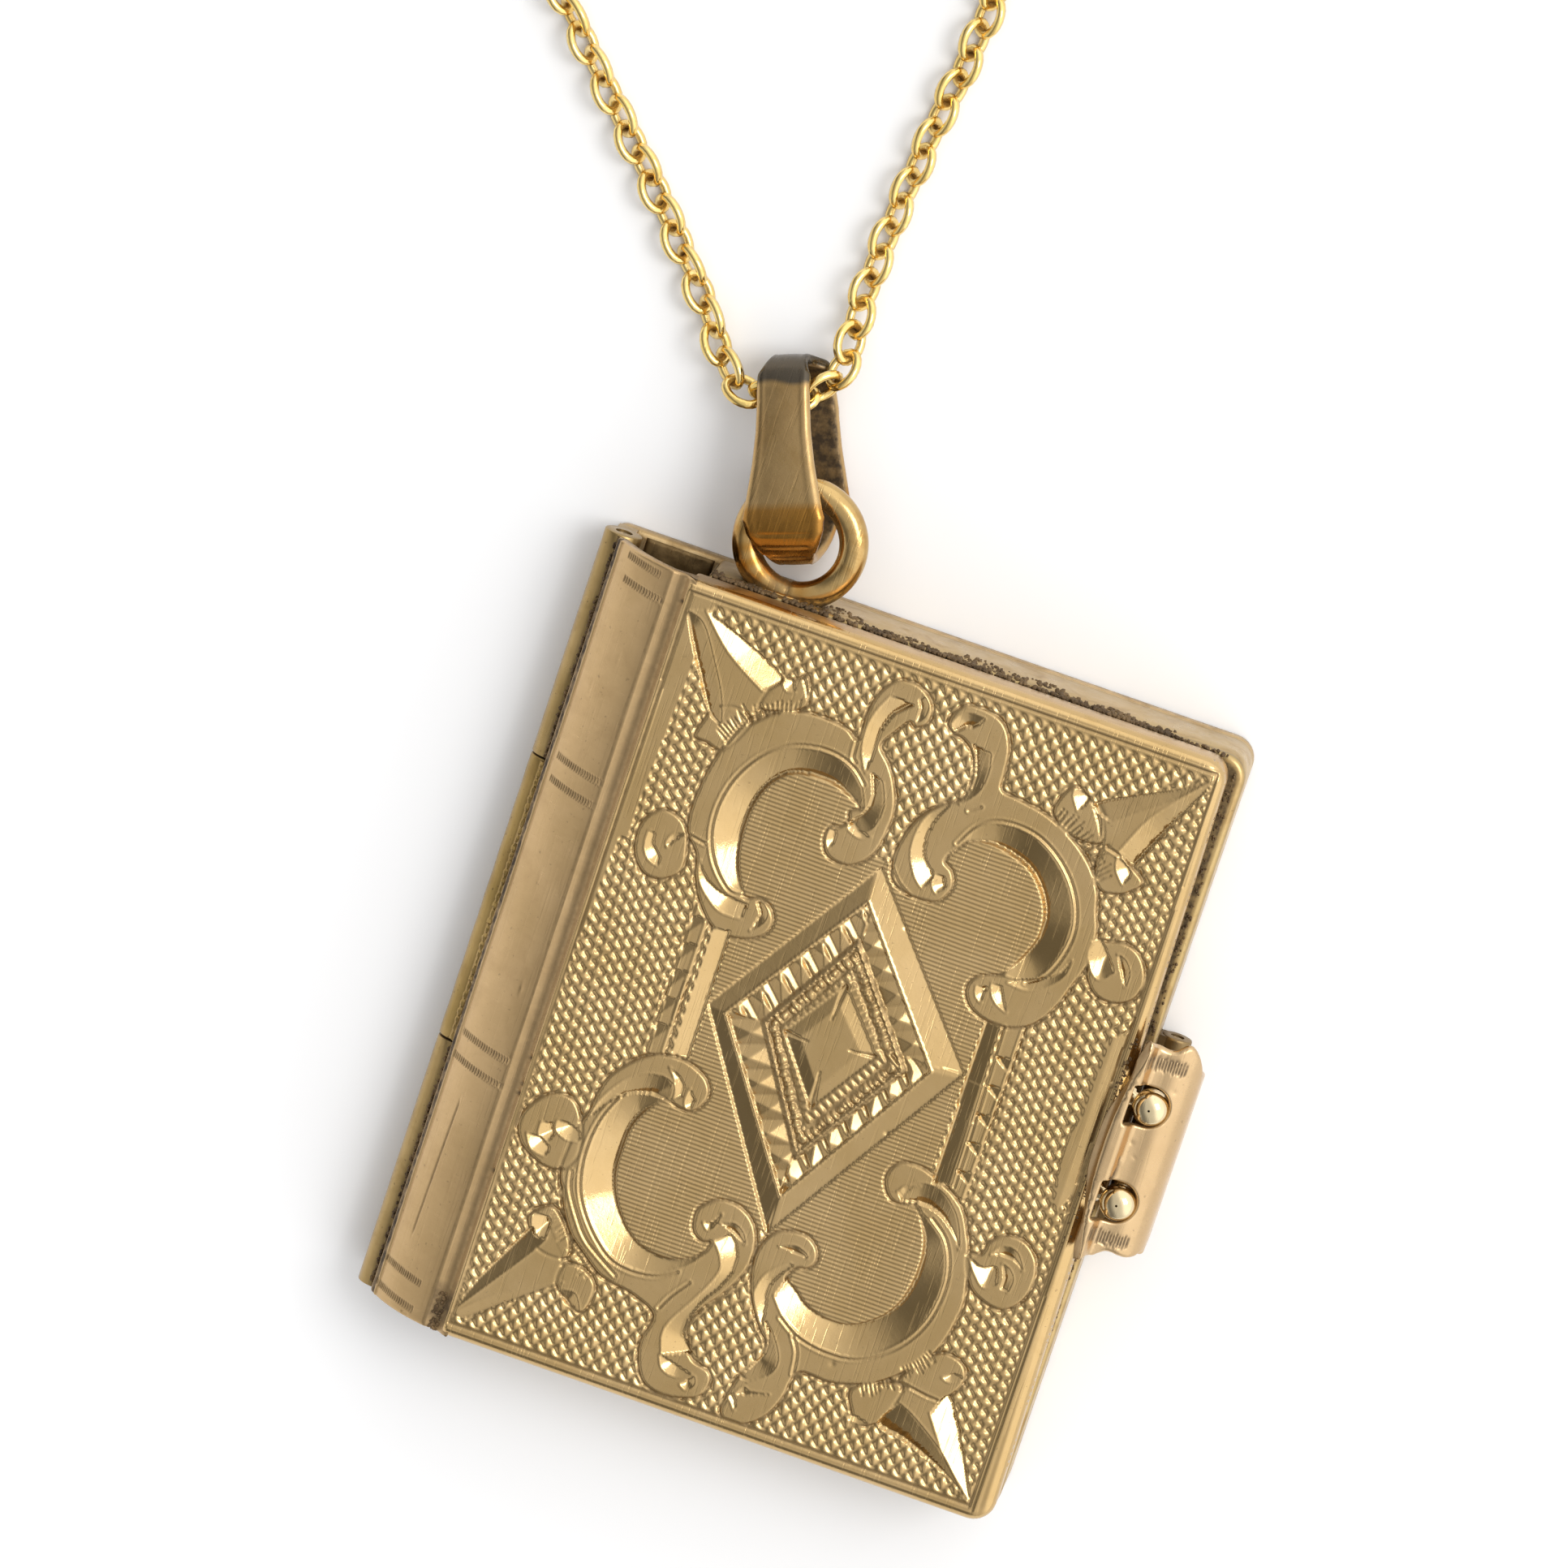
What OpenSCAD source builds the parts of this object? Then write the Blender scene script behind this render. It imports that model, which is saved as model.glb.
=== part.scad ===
// Book shaped locket with a hinged front cover, a side hasp, a strap bail
// and a fine cable chain. Millimetres, +Z up, the locket lies on its back.
// Origin: centre of the back board's underside. +X to the fore-edge,
// +Y to the head (the ring's end), +Z out of the front cover.

/* [Book] */
// Height of the boards from head to foot
book_h = 26; // [25:0.25:27]
// Half of the width of the back case, from its middle to the fore-edge
half_w = 9.35; // [9.25:0.05:9.4]
// Thickness over both covers
book_t = 5; // [5:0.05:5.1]
// How much narrower the front board is at its head than at its foot
cover_taper = 0.5; // [0:0.1:0.5]
// Corner radius of the boards at the fore-edge
corner_r = 0.75; // [0.4:0.05:0.9]

/* [Back case] */
// Thickness of the back board
back_t = 0.7; // [0.6:0.05:0.8]
// Height of the frame's rim above the table
rim_z = 3.35; // [3.2:0.05:3.4]
// Left side of the frame, behind the spine
frame_left = -8.7; // [-8.8:0.05:-8.5]
// Width of the rim round the picture well
rim_w = 0.9; // [0.8:0.05:1]
// Depth of the picture well
well_d = 1.6; // [1:0.1:1.8]

/* [Front cover] */
// Underside of the front board
cover_z = 3.6; // [3.6:0.05:3.7]
// Left side of the front board, at the groove
cover_left = -9.1; // [-9.15:0.05:-9]
// Depth of the recess inside the front board
inner_d = 0.35; // [0.2:0.05:0.4]
// Sheet thickness of the spine
spine_t = 0.4; // [0.35:0.05:0.4]

/* [Spine hinge] */
// Hinge axis, distance from the middle towards the spine
hinge_x = -11.83; // [-11.85:0.01:-11.8]
// Hinge axis, height
hinge_z = 1.7; // [1.65:0.05:1.75]
// Outer radius of the knuckles
knuckle_r = 0.62; // [0.55:0.01:0.62]
// Radius of the hinge pin
pin_r = 0.25; // [0.2:0.01:0.25]
// Clearance of the pin in its knuckles
pin_fit = 0.03; // [0.02:0.01:0.05]

/* [Hasp] */
// Hasp hinge axis, distance from the middle
hasp_x = 9.9; // [9.9:0.01:9.92]
// Hasp hinge axis, height
hasp_z = 0.75; // [0.75:0.01:0.8]
// Outer radius of the bulged plate
bulge_r = 2.25; // [2.2:0.01:2.25]
// Thickness of the plate
hasp_t = 0.35; // [0.3:0.05:0.35]
// Radius of the ball studs
ball_r = 0.58; // [0.55:0.01:0.58]
// Half width of the windows round the studs
notch_r = 0.66; // [0.65:0.01:0.68]

/* [Ring and bail] */
// Wire radius of the jump ring
ring_wire_r = 0.465; // [0.42:0.005:0.47]
// Radius of the jump ring to the middle of its wire
ring_r = 1.715; // [1.7:0.005:1.76]
// Thickness of the bail's strap
strap_t = 0.4; // [0.35:0.05:0.4]

/* [Chain] */
// Outer diameter of the cable chain
chain_d = 1; // [0.9:0.05:1]
// Length of the barrel clasp
clasp_l = 9; // [9:0.5:9.5]
// Diameter of the barrel clasp
clasp_d = 2.4; // [2:0.1:3]

/* [Hidden] */

gold = [0.72, 0.60, 0.42];
rose = [0.73, 0.61, 0.45];
bronze = [0.55, 0.43, 0.26];
yellow = [0.85, 0.70, 0.30];

// ends of the middle knuckle along the spine, and the gap at each end
mid_lo = -4.41;
mid_hi = 5.28;
end_gap = 0.05;

// centre of the jump ring
ring_c = [-6.38, 14.72, 2.5];

// middle of the circle that the hasp's bulge follows, in x and z
bulge_x = hasp_x - 0.98;
bulge_z = hasp_z + 1.85;

// ball studs: y of each
stud_y = [1.71, -1.55];
stud_x = 9.92;
stud_z = 4.87;
// windows of the hasp, how far their middles lie towards the head from the balls'
window_off = 0.05;
post_r = 0.2;
// where each post enters the fore-edge, in x and z
post_in = [8.55, 4.0];

// head of the bail and the way it points, and the same for the chain
bail_o = [-8.26, 18.97];
bail_turn = 22;
bail_roll = 8;
chain_o = [-8.3, 19, 0];
chain_turn = 18.8;

// The chain's route, seen along the loop's own axis.
// Columns: across, along, height, pieces up to the next row.
CHAIN = [
  [4.85, 182.5, 1.2, 1], [6.2, 182.4, 0.8, 2], [22, 178, 0.49, 2], [34.5, 170.5, 0.49, 2],
  [44.5, 160.5, 0.49, 2], [51, 148, 0.49, 2], [53.6, 134, 0.49, 2],
  [52.4, 120, 0.49, 2], [48.3, 107, 0.49, 2], [40.5, 89.5, 0.49, 2],
  [31.5, 70, 0.49, 2], [22.5, 50, 0.49, 2], [14.5, 31, 0.49, 3],
  [6.4, 12.1, 0.49, 2], [4.7, 8.5, 0.49, 2], [3.3, 5.4, 0.5, 1],
  [2.3, 2.8, 0.72, 2], [1.85, 1.1, 1.15, 1], [1.15, 0.1, 1.46, 1],
  [0.3, -0.15, 1.46, 1], [-0.6, -0.15, 1.4, 1], [-1.5, 0.05, 1.26, 1],
  [-2.1, 0.8, 0.95, 1], [-2.5, 1.9, 0.65, 1], [-3, 3.2, 0.5, 1],
  [-4.1, 5.8, 0.49, 2], [-5.4, 8.6, 0.49, 2], [-7.1, 12.3, 0.49, 3],
  [-15.5, 31, 0.49, 2], [-25, 51, 0.49, 2], [-34, 71, 0.49, 2],
  [-42.5, 90, 0.49, 2], [-49.3, 107, 0.49, 2], [-53.2, 120, 0.49, 2],
  [-54, 134, 0.49, 2], [-51, 148, 0.49, 2], [-44, 160.5, 0.49, 2],
  [-34, 170.5, 0.49, 2], [-21.5, 178, 0.49, 2], [-6.2, 182.4, 0.8, 1],
  [-4.85, 182.5, 1.2, 1]];

// Outline of the bail's strap. Columns: along (head = 0), half width.
STRAP = [[-5.5, 0.55], [-5.42, 0.64], [-5.25, 0.74], [-5, 0.84], [-4.7, 0.92], [-4.4, 1.0], [-4.15, 1.14],
         [-3.75, 1.34], [-3, 1.2], [-2, 1.02], [-1, 0.9], [0, 0.86],
         [0.8, 0.86], [1.1, 0.7], [1.25, 0.5]];

// Outline of the hasp, seen from above. Columns: x, y.
HASP_HEAD = [[9.31, 3.98], [9.6, 3.84], [9.9, 3.77], [10.15, 3.8], [10.35, 3.94],
             [10.52, 4.06], [10.72, 4.04], [10.94, 3.8], [11.13, 3.35], [11.35, 2.9]];
HASP_FOOT = [[11.35, -2.45], [11.2, -2.9], [11.0, -3.1], [10.78, -3.16], [10.5, -3.14],
             [10.27, -3.1], [10.05, -3.12], [9.85, -3.26], [9.65, -3.4], [9.4, -3.54]];
HASP_LEFT = [[9.2, -3.58], [9.08, -3.07], [8.93, -2.3], [8.79, -1.4], [8.71, -0.6],
             [8.68, 0.2], [8.7, 1], [8.77, 1.8], [8.92, 2.6], [9.08, 3.2], [9.22, 3.85]];

// section of the hasp: flat top, fold, then the bulge down to the hinge;
// k is how deep inside the outer face
fold_r = 1.2;
fold_c = [bulge_x + bulge_r - fold_r, 4.05];
fold_a = 83;
function arc_pts(c, r, a0, a1, n) =
  [for (i = [0 : n]) let (a = a0 + (a1 - a0) * i / n) [c[0] + r * cos(a), c[1] + r * sin(a)]];
// the rolled left edge stands above the plate; d is the way from the fold
function ease(t) = let (u = min(max(t, 0), 1)) u * u * (3 - 2 * u);
function lift(d) = 0.44 * (ease((d - 0.2) / 0.62) - 0.3 * ease((d - 1.1) / 0.35));
function hasp_path(k) = concat(
  [for (i = [0 : 24]) let (d = 2 - i * 0.08)
     fold_c + (fold_r - k + lift(d)) * [cos(fold_a), sin(fold_a)] + d * [-sin(fold_a), cos(fold_a)]],
  arc_pts(fold_c, fold_r - k, fold_a, 0, 12),
  arc_pts([bulge_x, bulge_z], bulge_r - k, 0, -61, 14));
function back_to_front(T) = [for (i = [len(T) - 1 : -1 : 0]) T[i]];

// right side of the front board at a height y
function cover_right(y) = half_w - cover_taper * (y + book_h / 2) / book_h;

// unit normal of the side from a to b, to its right
function side_n(a, b) = let (d = b - a, l = norm(d)) [d[1] / l, -d[0] / l];

// spline through a table's rows, t from 0 to 1 between p1 and p2
function spl(p0, p1, p2, p3, t) =
  0.5 * (2 * p1 + (p2 - p0) * t + (2 * p0 - 5 * p1 + 4 * p2 - p3) * t * t
         + (3 * p1 - 3 * p2 + p3 - p0) * t * t * t);
function xyz(r) = [r[0], r[1], r[2]];
function route(T) = let (n = len(T)) concat(
  [for (i = [0 : n - 2], k = [0 : T[i][3] - 1])
     spl(xyz(T[max(i - 1, 0)]), xyz(T[i]), xyz(T[i + 1]), xyz(T[min(i + 2, n - 1)]),
         k / T[i][3])], [xyz(T[n - 1])]);

// one ring of a tube: its middle, the way it runs, its side way
function ring_pts(p, d, r, sides) =
  let (t = d / norm(d), s = cross(t, [0, 0, 1]), a = s / norm(s), b = cross(a, t))
  [for (k = [0 : sides - 1]) let (w = 360 * (k + 0.5) / sides) p + r * (cos(w) * a + sin(w) * b)];

module tube(P, r, sides = 8) {
  n = len(P);
  pts = [for (i = [0 : n - 1]) each ring_pts(P[i], P[min(i + 1, n - 1)] - P[max(i - 1, 0)], r, sides)];
  faces = concat(
    [for (i = [0 : n - 2], k = [0 : sides - 1]) let (a = i * sides, m = (k + 1) % sides)
       [a + k, a + m, a + sides + m, a + sides + k]],
    [[for (k = [sides - 1 : -1 : 0]) k], [for (k = [0 : sides - 1]) (n - 1) * sides + k]]);
  polyhedron(points = pts, faces = faces, convexity = 8);
}

function dir2(a) = [cos(a), sin(a)];

// points round a corner, from the way v the last side faces to w, the next one's
function corner_pts(c, r, v, w, n = 8) =
  let (a = atan2(v[1], v[0]), d = acos(v * w)) [for (i = [0 : n]) c + r * dir2(a + d * i / n)];

// four sided board with round corners, C its corner circles' centres
// (in turn, the outside on the right hand), R their radii
module board(C, R) {
  n = len(C);
  polygon([for (i = [0 : n - 1]) let (h = (i + n - 1) % n, j = (i + 1) % n)
             each corner_pts(C[i], R[i], side_n(C[h], C[i]), side_n(C[i], C[j]))]);
}

// board from x0 to x1 (x1 may differ at head and foot), inset all round by i
module rect_board(x0, x1h, x1f, i, rl, rr) {
  h = book_h / 2 - i;
  board([[x0 + i + rl, -h + rl], [x1f - i - rr, -h + rr],
         [x1h - i - rr, h - rr], [x0 + i + rl, h - rl]], [rl, rr, rr, rl]);
}

// a 2D shape in x and z, drawn out along y from y0 to y1
module along_y(y0, y1) {
  translate([0, y1, 0]) rotate([90, 0, 0]) linear_extrude(y1 - y0) children();
}

module rod_y(x, z, r, y0, y1) {
  translate([x, y0, z]) rotate([-90, 0, 0]) cylinder(r = r, h = y1 - y0, $fn = 48);
}

module back_case() {
  color(gold) difference() {
    union() {
      // back board, reaching out under the spine
      difference() {
        linear_extrude(back_t) rect_board(hinge_x - 0.4, half_w, half_w, 0, 0.4, corner_r);
        translate([hinge_x - 1, mid_lo - 0.1, -1]) cube([2.1, mid_hi - mid_lo + 0.2, 3]);
      }
      // frame with its two step picture well
      difference() {
        translate([0, 0, back_t - 0.1]) linear_extrude(rim_z - back_t + 0.1)
          rect_board(frame_left, half_w, half_w, 0, 0.2, corner_r);
        translate([0, 0, rim_z - 0.35]) linear_extrude(1)
          rect_board(frame_left, half_w, half_w, rim_w, 0.6, 0.6);
        translate([0, 0, rim_z - well_d]) linear_extrude(3)
          rect_board(frame_left, half_w, half_w, rim_w + 0.9, 0.8, 0.8);
      }
      // end knuckles and their feet
      for (s = [[mid_hi + end_gap, book_h / 2], [-book_h / 2, mid_lo - end_gap]]) {
        rod_y(hinge_x, hinge_z, knuckle_r, s[0], s[1]);
        translate([hinge_x - 0.35, s[0], back_t - 0.1]) cube([0.75, s[1] - s[0], 0.75]);
      }
      // lugs of the hasp
      for (s = [[2.55, 3.2], [-3.2, -2.55]]) {
        rod_y(hasp_x, hasp_z, 0.5, s[0], s[1]);
        translate([half_w - 0.2, s[0], 0.3]) cube([hasp_x - half_w + 0.2, s[1] - s[0], 0.9]);
      }
      // jump ring, soldered into the head wall
      translate(ring_c) rotate_extrude($fn = 64) translate([ring_r, 0]) circle(r = ring_wire_r, $fn = 32);
    }
    rod_y(hinge_x, hinge_z, pin_r + pin_fit, -book_h, book_h);
    rod_y(hasp_x, hasp_z, 0.23, -4, 4);
  }
}

module hinge_pin() {
  color(bronze) rod_y(hinge_x, hinge_z, pin_r, -book_h / 2 + 0.05, book_h / 2 - 0.05);
}

module hasp_pin() {
  color(bronze) rod_y(hasp_x, hasp_z, 0.2, -3.15, 3.15);
}

// the spine's rounded sheet: middle of its arc in x and z, outer radius
spine_c = [-8.315, 0.865];
spine_r = 4.02;

module front_cover() {
  color(rose) difference() {
    union() {
      // board
      difference() {
        translate([0, 0, cover_z]) linear_extrude(book_t - cover_z)
          rect_board(cover_left, half_w - cover_taper, half_w, 0, 0.15, corner_r);
        translate([0, 0, cover_z - 1]) linear_extrude(1 + inner_d)
          rect_board(cover_left, half_w - cover_taper, half_w, rim_w, 0.6, 0.6);
      }
      // groove beside the board
      along_y(-book_h / 2, book_h / 2)
        polygon([[-9, book_t - 0.15], [-9.2, book_t - 0.3], [-9.4, book_t - 0.38],
                 [-9.75, 4.62], [-9.95, 4.4], [-9.8, 4.2], [-9, 4.15]]);
      // spine
      along_y(-book_h / 2, book_h / 2) intersection() {
        difference() {
          translate(spine_c) circle(r = spine_r, $fn = 96);
          translate(spine_c) circle(r = spine_r - spine_t, $fn = 96);
        }
        polygon([spine_c, spine_c + 6 * [-0.342, 0.94], spine_c + 7 * [-0.65, 0.76],
                 spine_c + 6 * [-0.8793, 0.4764]]);
      }
      // middle knuckle, soldered to the spine
      rod_y(hinge_x, hinge_z, knuckle_r, mid_lo, mid_hi);
      along_y(mid_lo, mid_hi)
        polygon([[-12.1, 2], [-11.3, 2], [-11.2, 2.75], [-11.6, 2.95], [-11.86, 2.7]]);
    }
    rod_y(hinge_x, hinge_z, pin_r + pin_fit, -book_h, book_h);
    // holes of the stud posts
    for (y = stud_y) post(y, post_r + 0.02, 0.03);
  }
}

// post of a stud, aslant from the fore-edge into its ball
module post(y, r, deeper = 0) {
  v = [stud_x - post_in[0], stud_z - post_in[1]];
  translate([post_in[0], y, post_in[1]]) rotate([0, atan2(v[0], v[1]), 0])
    translate([0, 0, -deeper]) cylinder(r = r, h = norm(v) + deeper, $fn = 32);
}

module stud(y) {
  color(gold) {
    translate([stud_x, y, stud_z]) sphere(r = ball_r, $fn = 48);
    post(y, post_r);
  }
}
module stud_upper() { stud(stud_y[0]); }
module stud_lower() { stud(stud_y[1]); }

module hasp() {
  color(rose) difference() {
    union() {
      intersection() {
        // folded sheet
        along_y(-4.2, 4.2) polygon(concat(hasp_path(0), back_to_front(hasp_path(hasp_t))));
        // shaped outline
        linear_extrude(8) polygon(concat(HASP_HEAD, HASP_FOOT, HASP_LEFT));
      }
      rod_y(hasp_x, hasp_z, 0.5, -2.5, 2.5);
    }
    // room for the lugs
    for (s = [[2.5, 5], [-5, -2.5]]) rod_y(hasp_x, hasp_z, 0.58, s[0], s[1]);
    rod_y(hasp_x, hasp_z, 0.23, -5, 5);
    // windows for the ball studs
    for (y = stud_y) {
      translate([stud_x - 0.02, y + window_off, 3.5]) cylinder(r = notch_r, h = 4, $fn = 48);
      translate([9.28, y + window_off - notch_r, 3.5]) cube([stud_x - 0.02 - 9.28, 2 * notch_r, 4]);
    }
  }
}

// outline round two circles and their outer tangents
module tear(c1, r1, c2, r2) {
  d = norm(c2 - c1);
  e = (c2 - c1) / d;
  f = atan2(e[1], e[0]);
  g = acos((r1 - r2) / d);
  // round the near end, then round the far end
  polygon(concat([for (i = [0 : 24]) c1 + r1 * dir2(f + g + (360 - 2 * g) * i / 24)],
                 [for (i = [0 : 24]) c2 + r2 * dir2(f - g + 2 * g * i / 24)]));
}

// side of the bail: head circle and foot circle, in along and height
bail_head = [0, 1.42];
bail_foot = [-3.74, 1.9];

module bail() {
  color(bronze) translate([bail_o[0], bail_o[1], 0]) rotate([0, 0, bail_turn])
    translate([0, 0, bail_foot[1]]) rotate([0, -bail_roll, 0]) translate([0, 0, -bail_foot[1]])
    intersection() {
      rotate([90, 0, 90]) translate([0, 0, -3]) linear_extrude(6) difference() {
        tear(bail_head, 1.2, bail_foot, 1.7);
        tear(bail_head, 1.2 - strap_t, bail_foot, 1.7 - strap_t);
      }
      linear_extrude(8) polygon(concat([for (q = STRAP) [q[1], q[0]]],
        [for (i = [len(STRAP) - 1 : -1 : 0]) [-STRAP[i][1], STRAP[i][0]]]));
    }
}

module chain() {
  color(yellow) translate(chain_o) rotate([0, 0, chain_turn]) tube(route(CHAIN), chain_d / 2, 8);
}

module chain_clasp() {
  color(yellow) translate(chain_o) rotate([0, 0, chain_turn])
    translate([0, 182.5, clasp_d / 2]) rotate([0, 90, 0]) rotate_extrude($fn = 48)
      polygon([[0, -clasp_l / 2], [0.5, -clasp_l / 2], [0.8, -clasp_l / 2 + 0.6], [clasp_d / 2, -clasp_l / 2 + 1.4],
               [clasp_d / 2, clasp_l / 2 - 1.4], [0.8, clasp_l / 2 - 0.6], [0.5, clasp_l / 2], [0, clasp_l / 2]]);
}

back_case();
hinge_pin();
hasp_pin();
front_cover();
stud_upper();
stud_lower();
hasp();
bail();
chain();
chain_clasp();
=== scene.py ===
import math
import random

import bpy
import numpy as np
from mathutils import Matrix, Vector
from mathutils.geometry import delaunay_2d_cdt


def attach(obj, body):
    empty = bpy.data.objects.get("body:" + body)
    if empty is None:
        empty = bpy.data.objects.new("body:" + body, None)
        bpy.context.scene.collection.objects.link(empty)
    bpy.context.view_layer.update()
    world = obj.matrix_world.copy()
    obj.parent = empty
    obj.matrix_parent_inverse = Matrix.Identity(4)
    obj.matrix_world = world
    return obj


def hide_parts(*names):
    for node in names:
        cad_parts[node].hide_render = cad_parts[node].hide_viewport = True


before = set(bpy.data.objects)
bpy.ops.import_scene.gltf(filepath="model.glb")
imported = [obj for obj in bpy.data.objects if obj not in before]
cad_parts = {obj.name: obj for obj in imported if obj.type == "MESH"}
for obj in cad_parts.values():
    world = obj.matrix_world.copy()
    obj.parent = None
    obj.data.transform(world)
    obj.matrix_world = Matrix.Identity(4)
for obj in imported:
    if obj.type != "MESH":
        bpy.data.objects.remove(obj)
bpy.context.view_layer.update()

MM = 0.001
rng = np.random.default_rng(11)
random.seed(11)


# ------------------------------------------------------------------ helpers
def to_mesh(name, V, F, mat, smooth=True, attrs=None):
    """V in millimetres, F a list of faces or an (n, 3 or 4) array."""
    me = bpy.data.meshes.new(name)
    V = np.asarray(V, float) * MM
    if isinstance(F, np.ndarray):
        k = F.shape[1]
        me.vertices.add(len(V))
        me.vertices.foreach_set("co", V.ravel())
        me.loops.add(F.size)
        me.loops.foreach_set("vertex_index", F.ravel().astype(np.int32))
        me.polygons.add(len(F))
        me.polygons.foreach_set("loop_start", np.arange(0, F.size, k, dtype=np.int32))
        me.update(calc_edges=True)
        me.validate()
    else:
        me.from_pydata([tuple(v) for v in V], [], [tuple(f) for f in F])
    me.polygons.foreach_set("use_smooth", np.full(len(me.polygons), smooth))
    for key, val in (attrs or {}).items():
        a = me.attributes.new(key, "FLOAT", "POINT")
        a.data.foreach_set("value", np.asarray(val, np.float32))
    me.materials.append(mat)
    me.update()
    ob = bpy.data.objects.new(name, me)
    bpy.context.collection.objects.link(ob)
    return ob


def grid_faces(n, m, close_m=False, close_n=False):
    """Quads of an n x m vertex grid, index i * m + j."""
    i = np.arange(n if close_n else n - 1)
    j = np.arange(m if close_m else m - 1)
    I, J = np.meshgrid(i, j, indexing="ij")
    I2 = (I + 1) % n
    J2 = (J + 1) % m
    return np.stack([I * m + J, I2 * m + J, I2 * m + J2, I * m + J2], -1).reshape(-1, 4)


def loft(name, loops, mat, cap0=True, cap1=True, smooth=True, attrs=None):
    """loops: list of (m, 3) rings with the same number of points."""
    n, m = len(loops), len(loops[0])
    V = np.concatenate([np.asarray(l, float) for l in loops])
    F = [tuple(f) for f in grid_faces(n, m, close_m=True)]
    if cap0:
        F.append(tuple(range(m - 1, -1, -1)))
    if cap1:
        F.append(tuple((n - 1) * m + k for k in range(m)))
    return to_mesh(name, V, F, mat, smooth, attrs)


def join(name, parts, mat, smooth=True):
    """parts: list of (V, F array) with quads; one mesh."""
    Vs, Fs, o = [], [], 0
    for V, F in parts:
        Vs.append(V)
        Fs.append(np.asarray(F) + o)
        o += len(V)
    return to_mesh(name, np.concatenate(Vs), np.concatenate(Fs), mat, smooth)


def recalc(ob):
    import bmesh
    bm = bmesh.new()
    bm.from_mesh(ob.data)
    bmesh.ops.recalc_face_normals(bm, faces=bm.faces)
    bm.to_mesh(ob.data)
    bm.free()
    return ob


def sharp(ob, deg=35):
    """Smooth shading with hard edges above an angle."""
    ob.data.set_sharp_from_angle(angle=math.radians(deg))
    return ob


def spline(P, n=12, closed=False):
    P = np.asarray(P, float)
    out = []
    m = len(P)
    for i in range(m if closed else m - 1):
        if closed:
            a, b, c, d = P[(i - 1) % m], P[i], P[(i + 1) % m], P[(i + 2) % m]
        else:
            a, b, c, d = P[max(i - 1, 0)], P[i], P[i + 1], P[min(i + 2, m - 1)]
        for k in range(n):
            t = k / n
            out.append(0.5 * (2 * b + (c - a) * t + (2 * a - 5 * b + 4 * c - d) * t * t
                              + (3 * b - 3 * c + d - a) * t ** 3))
    if not closed:
        out.append(P[-1])
    return np.array(out)


def round_box(x0, x1, y0, y1, rl, rr, n=8, x1h=None):
    """Outline of a board, counter-clockwise; rl left corners, rr right; x1h its right side at the head."""
    x1h = x1 if x1h is None else x1h
    pts = []
    for cx, cy, r, a0 in ((x0 + rl, y0 + rl, rl, 180), (x1 - rr, y0 + rr, rr, 270),
                          (x1h - rr, y1 - rr, rr, 0), (x0 + rl, y1 - rl, rl, 90)):
        for k in range(n + 1):
            a = math.radians(a0 + 90 * k / n)
            pts.append((cx + r * math.cos(a), cy + r * math.sin(a)))
    return np.array(pts)


def ring3(P2, z):
    return np.column_stack([P2, np.full(len(P2), z)])


def lathe_y(x, z, prof, n=40):
    """Rings round an axis along y; prof: list of (y, radius)."""
    a = np.linspace(0, 2 * math.pi, n, endpoint=False)
    return [np.column_stack([x + r * np.cos(a), np.full(n, y), z + r * np.sin(a)]) for y, r in prof]


# ---------------------------------------------------------------- materials
def nodes_of(mat):
    mat.use_nodes = True
    nt = mat.node_tree
    nt.nodes.clear()
    return nt


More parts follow.
